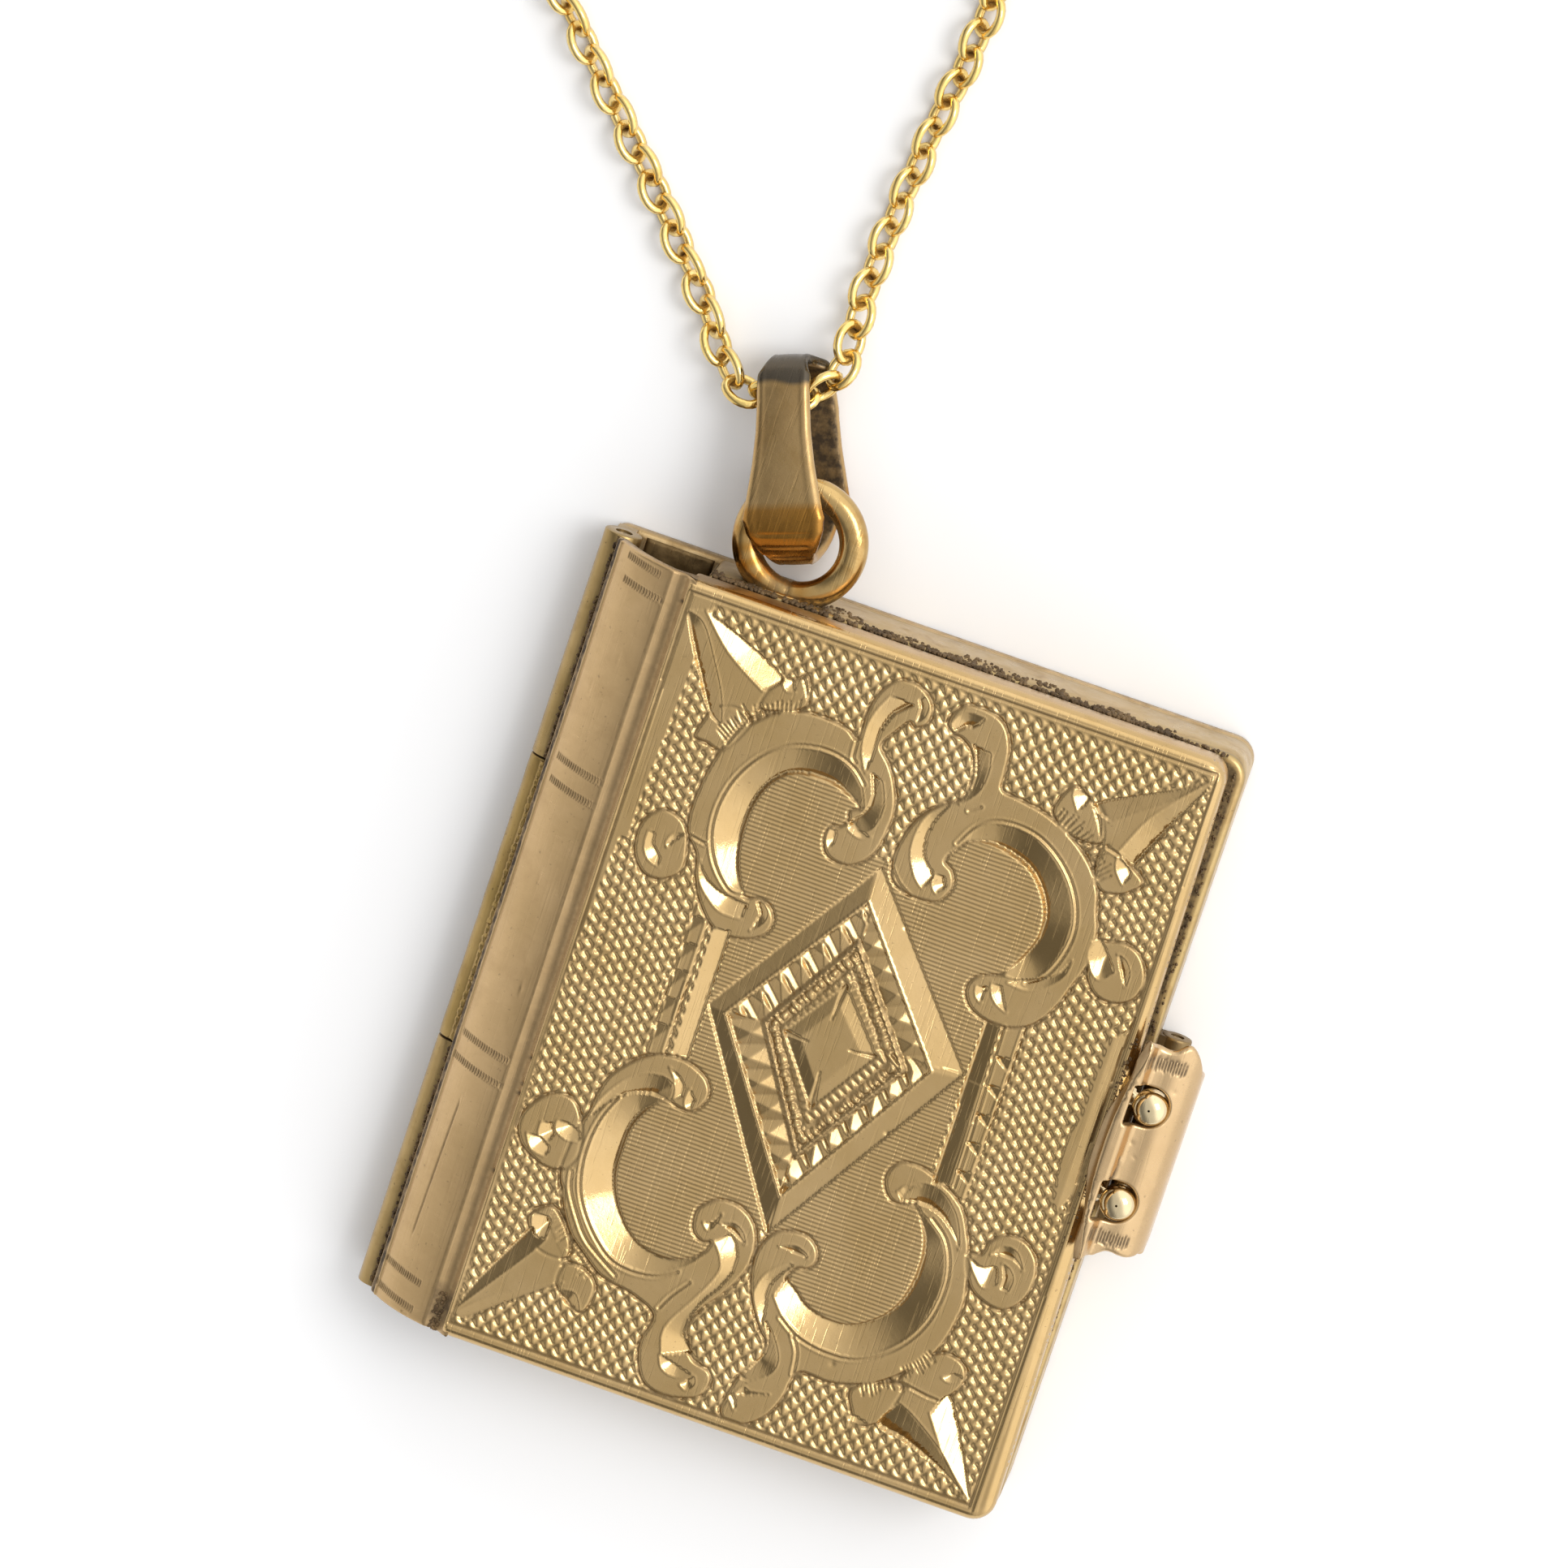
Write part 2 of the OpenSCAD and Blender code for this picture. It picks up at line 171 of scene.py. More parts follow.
def gold(name, c0, c1, dirt_and_shade, rough=(0.22, 0.38), scale=900.0, spots=0.25, scratch=0.35, tarnish=0.3,
         rulings=False, dirt_and_shade_attr=False, ao_shade_and_grime=0.0, streak=(1.0, 1.0, 1.0), tcol=(0.30, 0.17, 0.06), metal=1.0,
         amber_reflection=False):
    """Worn gold: two shades, clouds of tarnish, specks of grime, fine scratches; darkening from a vertex attribute that
    is partly real grime and partly painted shade, painted shade with grime from ambient occlusion, and painted amber
    and dark reflections from attributes.
    """
    mat = bpy.data.materials.new(name)
    nt = nodes_of(mat)
    N, L = nt.nodes, nt.links

    def add(kind, **kw):
        n = N.new(kind)
        for k, v in kw.items():
            setattr(n, k, v)
        return n

    def noise(vec, s, detail=4.0, r=0.55, dist=0.0):
        n = add("ShaderNodeTexNoise")
        n.inputs["Scale"].default_value = s
        n.inputs["Detail"].default_value = detail
        n.inputs["Roughness"].default_value = r
        n.inputs["Distortion"].default_value = dist
        L.new(vec, n.inputs["Vector"])
        return n.outputs["Fac"]

    def ramp(src, a, b, lo=0.0, hi=1.0):
        n = add("ShaderNodeMapRange")
        n.inputs["From Min"].default_value = a
        n.inputs["From Max"].default_value = b
        n.inputs["To Min"].default_value = lo
        n.inputs["To Max"].default_value = hi
        L.new(src, n.inputs["Value"])
        return n.outputs["Result"]

    def mix(fac, a, b):
        n = add("ShaderNodeMix", data_type="RGBA")
        L.new(fac, n.inputs[0])
        for src, i in ((a, 6), (b, 7)):
            if isinstance(src, tuple):
                n.inputs[i].default_value = (*src, 1)
            else:
                L.new(src, n.inputs[i])
        return n.outputs[2]

    def op(kind, a, b=None, clamp=True):
        n = add("ShaderNodeMath", operation=kind, use_clamp=clamp)
        for src, i in ((a, 0), (b, 1)):
            if src is None:
                continue
            if isinstance(src, (int, float)):
                n.inputs[i].default_value = src
            else:
                L.new(src, n.inputs[i])
        return n.outputs[0]

    out = add("ShaderNodeOutputMaterial")
    bsdf = add("ShaderNodeBsdfPrincipled")
    L.new(bsdf.outputs[0], out.inputs[0])
    tc = add("ShaderNodeTexCoord")
    obj = tc.outputs["Object"]
    st = add("ShaderNodeMapping")
    st.inputs["Scale"].default_value = streak
    L.new(obj, st.inputs["Vector"])
    svec = st.outputs["Vector"]

    clouds = noise(obj, scale * 0.35, 5.0, 0.6, 0.4)
    fine = noise(obj, scale * 4.0, 3.0, 0.6)
    col = mix(ramp(clouds, 0.35, 0.65), c0, c1)
    tar = op("MULTIPLY", ramp(noise(obj, scale * 0.9, 6.0, 0.65, 0.6), 0.5, 0.72), tarnish)
    col = mix(tar, col, tcol)
    speck = op("MULTIPLY", ramp(noise(obj, scale * 7.0, 2.0, 0.5), 0.69, 0.74), spots)
    dirt_shade_f = speck
    # darkening from a vertex attribute: real grime in places, painted shade in others, such as the spine's groove and
    # outer edge
    if dirt_and_shade_attr:
        at = add("ShaderNodeAttribute", attribute_name="dirt_and_shade")
        attr_dirt_shade = op("MULTIPLY", at.outputs["Fac"], ramp(fine, 0.3, 0.6, 0.55, 1.0))
        dirt_shade_f = op("MAXIMUM", dirt_shade_f, attr_dirt_shade)
    # painted shade with grime: ambient occlusion darkens hollows, gaps between parts and surfaces near the floor
    # towards the dark colour
    if ao_shade_and_grime:
        geo = add("ShaderNodeAmbientOcclusion")
        geo.inputs["Distance"].default_value = ao_shade_and_grime
        geo.samples = 4
        ao_shade = ramp(geo.outputs["AO"], 0.25, 0.75, 0.8, 0.0)
        dirt_shade_f = op("MAXIMUM", dirt_shade_f, op("MULTIPLY", ao_shade, ramp(fine, 0.3, 0.6, 0.4, 1.0)))
    # painted reflections: an amber reflection, and a dark reflection on the top, mixed in from vertex attributes
    if amber_reflection:
        col = mix(add("ShaderNodeAttribute", attribute_name="amber_reflection").outputs["Fac"], col, (0.42, 0.185, 0.022))
        col = mix(add("ShaderNodeAttribute", attribute_name="dark_top_reflection").outputs["Fac"], col, (0.115, 0.095, 0.07))
    col = mix(dirt_shade_f, col, dirt_and_shade)
    L.new(col, bsdf.inputs["Base Color"])

    rg = ramp(noise(svec, scale * 1.6, 5.0, 0.65), 0.3, 0.7, rough[0], rough[1])
    rg = op("ADD", rg, op("MULTIPLY", dirt_shade_f, 0.35))
    rg = op("ADD", rg, op("MULTIPLY", tar, 0.12))
    if dirt_and_shade_attr:
        pa = add("ShaderNodeAttribute", attribute_name="pol")
        rg = op("MULTIPLY", rg, op("SUBTRACT", 1.0, op("MULTIPLY", pa.outputs["Fac"], 0.5)))
    L.new(rg, bsdf.inputs["Roughness"])
    L.new(op("SUBTRACT", metal, op("MULTIPLY", dirt_shade_f, 0.55)), bsdf.inputs["Metallic"])

    # fine scratches: stretched noise in two directions, and small dings
    h = noise(obj, scale * 2.2, 6.0, 0.7)
    for rot, sc in (((0, 0, 0.5), (9.0, 0.35, 1.0)), ((0, 0, -0.9), (11.0, 0.3, 1.0)), ((0, 0, 1.7), (8.0, 0.4, 1.0))):
        m = add("ShaderNodeMapping")
        m.inputs["Rotation"].default_value = rot
        m.inputs["Scale"].default_value = sc
        L.new(obj, m.inputs["Vector"])
        s = ramp(noise(m.outputs["Vector"], scale * 0.9, 2.0, 0.5), 0.63, 0.66)
        h = op("SUBTRACT", h, op("MULTIPLY", s, 0.35), clamp=False)
    bump = add("ShaderNodeBump")
    bump.inputs["Strength"].default_value = scratch
    bump.inputs["Distance"].default_value = 0.000012
    L.new(h, bump.inputs["Height"])
    nrm = bump.outputs["Normal"]
    if rulings:
        at = add("ShaderNodeAttribute", attribute_name="field")
        sep = add("ShaderNodeSeparateXYZ")
        L.new(obj, sep.inputs[0])
        wob = op("MULTIPLY", noise(obj, 260.0, 2.0), 0.00012, clamp=False)
        y = op("ADD", sep.outputs["Y"], wob, clamp=False)
        w = op("SINE", op("MULTIPLY", y, 2 * math.pi / 0.000137, clamp=False), clamp=False)
        b2 = add("ShaderNodeBump")
        b2.inputs["Strength"].default_value = 0.5
        b2.inputs["Distance"].default_value = 0.000011
        L.new(op("MULTIPLY", w, at.outputs["Fac"], clamp=False), b2.inputs["Height"])
        L.new(nrm, b2.inputs["Normal"])
        nrm = b2.outputs["Normal"]
    L.new(nrm, bsdf.inputs["Normal"])
    return mat


BROWN = (0.035, 0.022, 0.012)
M_COVER = gold("cover_gold", (0.575, 0.39, 0.17), (0.635, 0.44, 0.208), (0.085, 0.05, 0.018), rough=(0.16, 0.28),
               rulings=True, dirt_and_shade_attr=True, tarnish=0.25, scratch=0.4, tcol=(0.48, 0.31, 0.12))
M_SPINE = gold("spine_gold", (0.62, 0.425, 0.215), (0.54, 0.365, 0.175), BROWN, rough=(0.26, 0.40), tarnish=0.45,
               dirt_and_shade_attr=True, streak=(1.0, 5.0, 1.0), tcol=(0.50, 0.33, 0.16))
M_KNUCKLE = gold("knuckle_gold", (0.44, 0.30, 0.115), (0.35, 0.235, 0.08), BROWN, rough=(0.26, 0.4), tarnish=0.6,
                 spots=0.5, ao_shade_and_grime=0.0005, tcol=(0.30, 0.19, 0.07))
M_CASE = gold("case_gold", (0.49, 0.345, 0.145), (0.57, 0.41, 0.19), BROWN, rough=(0.24, 0.42), tarnish=0.6,
              ao_shade_and_grime=0.0009, dirt_and_shade_attr=True, tcol=(0.30, 0.17, 0.06))
M_HASP = gold("hasp_gold", (0.645, 0.455, 0.25), (0.585, 0.405, 0.215), BROWN, rough=(0.22, 0.34), tarnish=0.2,
              dirt_and_shade_attr=True, tcol=(0.50, 0.33, 0.17))
M_STUD = gold("stud_gold", (0.84, 0.69, 0.43), (0.80, 0.64, 0.38), BROWN, rough=(0.08, 0.16), tarnish=0.15,
              spots=0.1, scratch=0.15)
M_BAIL = gold("bail_gold", (0.50, 0.32, 0.135), (0.585, 0.395, 0.18), BROWN, rough=(0.18, 0.32), tarnish=0.5,
              streak=(6.0, 1.0, 1.0), scratch=0.45, dirt_and_shade_attr=True, tcol=(0.34, 0.20, 0.06), amber_reflection=True)
M_RING = gold("ring_gold", (0.50, 0.325, 0.125), (0.60, 0.41, 0.17), BROWN, rough=(0.10, 0.20), tarnish=0.7, scratch=0.6,
              ao_shade_and_grime=0.0009, dirt_and_shade_attr=True, amber_reflection=True, tcol=(0.40, 0.20, 0.045))
# back board: ambient occlusion reaching 3.5 mm paints shade in the hollow under the spine and towards the floor
M_BACK = gold("back_gold", (0.60, 0.42, 0.20), (0.70, 0.505, 0.265), BROWN, rough=(0.24, 0.42), tarnish=0.7,
              ao_shade_and_grime=0.0035, tcol=(0.26, 0.15, 0.05))
M_OLIVE = gold("end_knuckle_gold", (0.46, 0.32, 0.14), (0.38, 0.26, 0.105), BROWN, rough=(0.24, 0.4), tarnish=0.5,
               spots=0.4, ao_shade_and_grime=0.0009, tcol=(0.26, 0.17, 0.06))
# lugs: base colour painted dark for the shade they sit in
M_LUG_SHADE = gold("lug_gold_painted_shade", (0.20, 0.135, 0.06), (0.30, 0.21, 0.10), BROWN, rough=(0.3, 0.5), tarnish=0.7, ao_shade_and_grime=0.0008)
M_PIN = gold("pin_gold", (0.45, 0.34, 0.18), (0.55, 0.42, 0.24), BROWN, rough=(0.3, 0.5), tarnish=0.5)
M_CHAIN = gold("chain_gold", (0.88, 0.63, 0.21), (0.93, 0.70, 0.29), (0.20, 0.09, 0.012), rough=(0.10, 0.20),
               scale=1500.0, tarnish=0.35, spots=0.1, scratch=0.2, tcol=(0.60, 0.32, 0.06), ao_shade_and_grime=0.00035)
M_DIRT = gold("crust", (0.065, 0.036, 0.014), (0.21, 0.13, 0.055), (0.018, 0.011, 0.005), rough=(0.6, 0.9),
              scale=2500.0, tarnish=0.4, metal=0.1, scratch=1.0, tcol=(0.03, 0.02, 0.01))

# ------------------------------------------------- sizes of the book, in mm
BOOK_H, HALF_W, BOOK_T, TAPER = 26.0, 9.35, 5.0, 0.5
RIM_Z, COVER_Z = 3.35, 3.6


def cover_right(y):
    return HALF_W - TAPER * (y + BOOK_H / 2) / BOOK_H


# --------------------------------------------------- engraved front, drawing
# Outlines are in drawing units, 85 to the millimetre, from each quarter's own corner.
U = 85.0
CORNER = {"tl": (-9.6, 13.3), "tr": (-0.6, 13.3), "bl": (-9.6, 0.6), "br": (-0.6, 0.6)}


def pt(q, words):
    ox, oy = CORNER[q]
    P = np.array([[float(c) for c in w.split(",")] for w in words.split()])
    return np.column_stack([ox + P[:, 0] / U, oy - P[:, 1] / U])


# plain polished scrolls: closed outlines, rounded
PLAIN = [
    ("tl", "480,264 400,280 340,320 290,380 260,440 243,510 235,580 235,640 247,690 285,735 300,790 330,850 380,905 430,922 490,910 530,880 541,840 520,805 485,795 445,803 410,750 390,690 383,620 388,550 410,490 450,445 510,425 570,425 620,440 665,466 640,485 645,510 625,535 605,540 597,570 610,610 640,628 680,628 715,605 740,570 752,520 755,440 730,370 700,325 665,285 690,235 715,200 735,208 762,190 768,150 745,115 710,95 670,95 635,115 610,160 600,220 600,290 560,270"),
    ("tr", "245,290 300,300 370,312 430,335 490,370 540,415 575,470 590,520 610,580 614,660 590,740 575,790 550,840 515,880 460,905 400,905 350,885 325,850 325,820 345,795 405,768 440,710 463,650 465,600 450,550 420,505 380,470 325,450 265,440 215,450 185,475 160,525 185,545 200,570 200,600 175,640 130,650 80,645 40,620 25,560 35,490 60,430 105,385 150,350 160,300 150,250 130,215 100,195 75,190 50,170 55,135 80,105 120,98 170,105 205,130 230,180 238,240"),
    ("bl", "455,335 490,335 515,310 525,270 505,235 470,215 430,205 375,210 330,230 285,270 250,320 235,380 230,430 215,480 205,600 230,660 250,710 290,770 340,810 390,845 440,860 500,870 570,905 558,980 570,1040 600,1090 650,1108 710,1100 760,1075 775,1030 760,1000 710,985 680,940 668,890 690,840 720,800 755,740 775,680 770,610 740,560 690,535 640,540 600,570 590,600 600,645 630,665 655,660 640,700 590,735 530,745 465,730 415,690 375,635 350,570 345,500 350,430 375,370 415,325"),
    ("br", "330,385 300,370 280,330 290,290 320,270 370,268 430,290 470,310 510,345 540,400 560,450 590,570 588,630 575,700 545,770 490,830 430,880 370,905 310,920 230,920 215,960 210,1000 185,1060 140,1105 90,1118 60,1100 60,1060 75,990 110,960 122,915 115,870 95,850 60,800 30,740 15,670 20,620 40,580 80,558 130,553 165,575 178,610 160,640 130,650 115,685 150,710 190,740 250,757 320,750 380,710 420,660 440,600 447,530 440,470 420,420 385,375"),
    # small outer curls
    ("tl", "247,690 215,655 165,648 125,685 116,740 130,795 170,834 215,834 255,805 266,775 262,740"),
    ("tr", "606,600 650,588 690,577 730,590 760,625 772,670 755,720 710,745 660,742 625,710 612,670"),
    ("bl", "225,470 190,415 150,405 105,425 70,470 58,520 80,570 125,600 175,615 215,600 240,550"),
    ("br", "556,455 590,440 603,395 650,365 700,370 740,410 752,470 735,530 690,570 630,562 585,530"),
    # leaves at the foot of each corner dart
    ("tl", "325,300 330,245 360,205 395,190 420,170 435,200 442,250 400,282"),
    ("tl", "180,430 190,380 205,345 250,320 300,325 310,360 265,440 215,436"),
    ("tr", "395,310 400,250 430,215 480,240 520,270 540,340 470,350"),
    ("tr", "550,345 600,355 680,400 655,440 620,460 575,462 545,410"),
    ("bl", "165,770 180,735 220,710 260,740 300,800 290,840 215,835"),
    ("bl", "290,890 300,920 340,950 375,967 395,945 397,880 350,845 300,850"),
    ("br", "540,765 590,735 640,745 660,785 640,835 600,868 550,862 490,850"),
    ("br", "375,915 395,975 420,1005 470,985 495,935 505,860 450,870"),
]
# straight sided plain pieces: darts, and the worn patch beside the hasp
FLAT = [
    ("tl", "60,108 108,92 235,140 355,200 325,300 300,325 250,330 240,375 170,250"),
    ("tr", "776,70 600,180 490,245 520,270 545,340 595,355 640,370 710,220 755,130"),
    ("bl", "48,1078 90,970 150,850 215,750 260,800 290,835 310,905 180,1010 85,1088"),
    ("br", "786,1118 700,950 637,845 600,865 510,860 475,985 560,1005 700,1060"),
    ("tr", "735,832 772,815 778,1000 776,1250 730,1250 728,940"),
    ("br", "722,0 776,0 772,200 748,262 730,240 712,130 712,40"),
]
# bright cuts: shallow edge, deep edge, slope
CUTS = [
    ("tl", "445,803 400,790 350,735 318,670 310,600 320,530 345,470 385,415 440,375 500,357 560,357 610,375 650,410 676,466",
           "445,803 410,750 390,690 383,620 388,550 410,490 450,445 510,425 570,425 620,440 676,466", 0.30),
    ("tr", "160,525 185,460 215,415 260,385 320,378 380,390 440,425 490,475 525,535 540,600 530,670 505,730 465,762 405,768",
           "160,525 185,475 215,450 265,440 325,450 380,470 420,505 450,550 465,600 463,650 440,710 405,768", 0.30),
    ("bl", "415,325 340,330 300,370 275,430 265,500 268,570 285,640 320,700 370,755 420,790 480,800 540,790 590,760 635,715 660,655",
           "415,325 375,370 350,430 345,500 350,570 375,635 415,690 465,730 530,745 590,735 640,700 660,655", 0.30),
    ("br", "385,375 430,400 480,440 510,500 520,570 510,650 480,720 430,780 360,825 280,835 200,820 140,785 100,740",
           "385,375 420,420 440,470 447,530 440,600 420,660 380,710 320,750 250,757 190,740 150,710 115,685", 0.30),
    # lower ends of the C scrolls
    ("tl", "300,745 320,800 360,840 400,862 455,862", "300,745 330,785 375,810 420,818 460,820", 0.34),
    ("tr", "567,670 562,715 530,757 480,787 425,785", "567,670 545,715 500,748 440,772 425,785", 0.34),
    ("bl", "235,445 255,380 300,310 350,275 400,268 432,288 440,325", "235,445 275,385 320,345 380,325 440,325", 0.32),
    ("br", "325,352 370,312 430,310 480,345 510,390 532,448", "345,376 400,365 450,375 500,410 532,448", 0.32),
    # upper and lower stems of the S scrolls
    ("tl", "650,145 625,200 615,260 625,320 650,370", "714,152 675,190 655,240 652,300 650,370", 0.34),
    ("tl", "700,380 722,440 716,500 692,532", "662,362 685,420 680,470 645,515", 0.34),
    ("tr", "185,208 195,260 185,320 150,365", "133,200 152,240 166,300 150,365", 0.34),
    ("tr", "130,368 82,420 65,480 70,540 98,592 126,617", "130,368 102,430 96,490 110,540 142,575 126,617", 0.36),
    ("bl", "665,650 690,680 705,720 690,770 655,840 622,900 612,945 628,1000", "665,650 702,622 732,660 738,710 716,770 686,820 666,880 668,930 702,972", 0.30),
    ("br", "112,640 62,690 48,750 68,800 95,838", "122,645 86,700 80,745 88,785 95,838", 0.34),
    ("br", "130,845 162,900 156,950 105,992", "98,815 120,860 121,910 80,988", 0.34),
    # curls
    ("tl", "148,715 150,760 170,790 200,800", "165,720 170,750 195,775 200,800", 0.4),
    ("tl", "243,690 215,700 203,725 206,742", "243,690 225,712 213,730 206,742", 0.45),
    ("tl", "500,800 520,830 512,860 490,885", "480,805 500,832 495,858 490,885", 0.4),
    ("tl", "600,545 603,575 618,600", "622,545 628,570 618,600", 0.4),
    ("tl", "655,532 690,543 716,530", "650,515 685,528 716,530", 0.4),
    ("tl", "735,120 752,140 750,175 735,195", "722,130 732,150 735,175 735,195", 0.4),
    ("tr", "606,598 606,640 625,675 655,694 685,662", "606,598 625,590 650,618 685,662", 0.36),
    ("tr", "726,690 724,650 704,622 680,612", "726,690 706,660 694,640 680,612", 0.45),
    ("tr", "385,800 396,830 415,850 446,864", "410,800 425,830 446,864", 0.42),
    ("tr", "348,822 356,848 374,862", "378,815 372,838 374,862", 0.42),
    ("tr", "145,570 150,600 165,618", "172,568 182,592 165,618", 0.42),
    ("tr", "62,165 75,135 100,120 140,122", "75,185 98,165 125,150 140,122", 0.4),
    ("bl", "160,478 165,505 200,520 232,515", "160,478 190,478 225,490 232,515", 0.36),
    ("bl", "120,498 125,535 150,545", "150,490 160,520 150,545", 0.4),
    ("bl", "92,540 115,575 155,585", "130,540 160,560 155,585", 0.4),
    ("bl", "402,236 425,262 436,300 432,325", "402,236 446,262 458,296 432,325", 0.42),
    ("bl", "472,275 470,310 480,330", "492,300 490,320 480,330", 0.42),
    ("bl", "620,612 640,628 655,600 660,572", "640,605 660,572", 0.42),
    ("bl", "665,598 700,588 730,605 745,632", "665,598 700,610 745,632", 0.42),
    ("bl", "622,1000 640,1035 680,1045 718,1025", "622,1000 660,1012 718,1025", 0.42),
    ("bl", "700,1062 720,1070 735,1050 728,1028", "712,1045 728,1028", 0.42),
    ("br", "562,455 590,492 625,524 658,508", "562,455 600,474 640,462 658,508", 0.36),
    ("br", "692,515 695,480 678,455 655,445", "672,515 670,480 655,445", 0.42),
    ("br", "618,432 640,400 680,402 712,445", "618,432 645,425 680,425 712,445", 0.4),
    ("br", "70,605 110,590 145,602 150,612", "70,605 110,608 150,612", 0.42),
    ("br", "330,352 342,330 375,318", "345,372 350,345 375,318", 0.42),
    ("br", "85,1035 100,1010 120,1015 172,1005", "85,1035 110,1030 172,1005", 0.42),
    ("br", "62,1045 80,1060 95,1080", "75,1040 90,1055 95,1080", 0.42),
    # wedges of the corner darts: tip, shallow edge towards the dart's middle
    ("tl", "108,92 200,180 320,250", "108,92 235,140 356,200 320,250", 0.34),
    ("tl", "58,110 110,130 170,220 215,300 240,375", "58,110 90,175 140,260 200,355 240,375", 0.34),
    ("tr", "776,70 700,150 620,215 545,275", "776,70 700,125 600,180 490,245 545,275", 0.34),
    ("tr", "776,72 700,160 640,240 595,345", "776,72 752,130 710,220 665,320 640,370 595,345", 0.34),
    ("bl", "50,1078 150,930 215,830 228,790 215,750", "50,1078 90,970 150,850 180,790 215,750", 0.34),
    ("bl", "60,1082 150,1000 310,902", "60,1082 85,1090 180,1012 310,902", 0.34),
    ("br", "786,1118 700,1040 600,905", "786,1118 720,985 637,845 600,905", 0.34),
    ("br", "786,1118 740,1070 650,990 560,930 512,908", "786,1118 700,1060 560,1005 475,985 512,908", 0.34),
    # leaf teeth
    ("tl", "360,200 375,225 400,225", "360,200 385,195 400,225", 0.4),
    ("tl", "418,178 436,205 444,252", "408,185 426,210 444,252", 0.4),
    ("tr", "430,215 432,240 455,276", "430,215 472,236 455,276", 0.4),
    ("tr", "595,358 605,395 632,426", "595,358 640,388 632,426", 0.4),
    ("tr", "480,240 520,275 540,340", "480,240 512,285 540,340", 0.4),
    ("bl", "175,745 195,800 228,800", "175,745 222,745 228,800", 0.4),
    ("bl", "305,925 350,920 378,965", "305,925 340,950 378,965", 0.4),
    ("br", "600,800 625,805 658,785", "610,790 632,778 658,785", 0.4),
    ("br", "395,1000 420,1005 450,992", "395,985 425,985 450,992", 0.4),
    # side bars, deep towards the middle
    ("tl", "392,912 392,1181", "440,905 440,1181", 0.28),
    ("bl", "392,0 392,196", "440,0 440,200", 0.28),
    ("tr", "445,910 452,1181", "400,910 404,1181", 0.28),
    ("br", "452,0 458,285", "404,0 406,300", 0.28),
]
# engraved lines: one width and depth for all
LINES = [
    ("tl", "375,906 375,1181"), ("bl", "375,0 375,200"), ("tl", "328,860 326,1181"), ("bl", "326,0 326,215"),
    ("tr", "508,890 505,1181"), ("br", "505,0 502,330"), ("tr", "452,905 458,1181"), ("br", "458,0 464,290"),
    ("tl", "330,318 300,345 270,420"), ("tl", "600,300 603,340 615,352"),
    ("tl", "440,803 395,797 340,742 308,672 300,600 310,528 336,465 378,407 434,366 500,347 560,347 614,366 655,402"),
    ("tr", "175,470 208,408 256,376 320,368 384,380 446,416 498,467 534,530 550,600 540,675 512,738 470,772"),
    ("bl", "292,366 267,430 256,500 258,572 276,644 312,706 364,763 418,800 480,810 544,800 596,768"),
    ("br", "436,392 488,434 519,498 529,570 519,654 488,727 435,789 362,835 280,845 196,830 134,793"),
    ("bl", "205,605 225,670 245,700"), ("bl", "238,600 250,650 290,715 330,765 380,800 440,835"),
    ("bl", "635,785 600,835 578,880"), ("bl", "690,845 668,885 668,930"), ("br", "180,828 205,870 214,930"),
    ("tr", "205,355 178,375"), ("tr", "560,345 600,355"), ("br", "500,852 560,862 605,866"),
    ("tr", "100,650 60,625 30,590"), ("tl", "247,690 300,700"),
]
# fringe of ticks along the outside of each C: path, number, length in units
FRINGE = [
    ("tl", "262,415 285,375 315,335", 9, 42), ("tl", "318,325 350,302 385,283 430,272", 11, 30),
    ("tr", "398,312 430,325 470,345 505,370 520,390", 11, 38), ("tr", "520,392 545,415 570,440", 6, 42),
    ("bl", "242,708 262,742 290,768", 7, -38), ("bl", "300,778 340,808 392,848", 10, -38),
    ("br", "545,742 520,780 485,815", 9, -34), ("br", "470,850 430,880 392,898", 8, -30),
]


def seg_dist(X, Y, P):
    """Distance of points to an open polyline, and the position along it, 0 to 1."""
    best = np.full(X.shape, 1e9)
    along = np.zeros(X.shape)
    seg = np.hypot(*(P[1:] - P[:-1]).T)
    cum = np.concatenate([[0], np.cumsum(seg)])
    for i in range(len(P) - 1):
        a, b = P[i], P[i + 1]
        d = b - a
        l2 = max(float(d @ d), 1e-12)
        t = np.clip(((X - a[0]) * d[0] + (Y - a[1]) * d[1]) / l2, 0, 1)
        q = np.hypot(X - a[0] - t * d[0], Y - a[1] - t * d[1])
        m = q < best
        best = np.where(m, q, best)
        along = np.where(m, (cum[i] + t * seg[i]) / cum[-1], along)
    return best, along


def inside(X, Y, P):
    c = np.zeros(X.shape, bool)
    n = len(P)
    for i in range(n):
        (x0, y0), (x1, y1) = P[i], P[(i + 1) % n]
        if y0 == y1:
            continue
        m = ((y0 > Y) != (y1 > Y)) & (X < (x1 - x0) * (Y - y0) / (y1 - y0) + x0)
        c ^= m
    return c


def window(xs, ys, P, pad):
    i0, i1 = np.searchsorted(xs, [P[:, 0].min() - pad, P[:, 0].max() + pad])
    j0, j1 = np.searchsorted(ys, [P[:, 1].min() - pad, P[:, 1].max() + pad])
    return slice(j0, j1), slice(i0, i1)


def blur(A, n):
    for ax in (0, 1):
        k = np.pad(A, [(n + 1, n) if a == ax else (0, 0) for a in (0, 1)], mode="edge")
        c = np.cumsum(k, axis=ax)
        A = (np.take(c, range(2 * n + 1, c.shape[ax]), axis=ax) - np.take(c, range(0, c.shape[ax] - 2 * n - 1), axis=ax)) / (2 * n + 1)
    return A


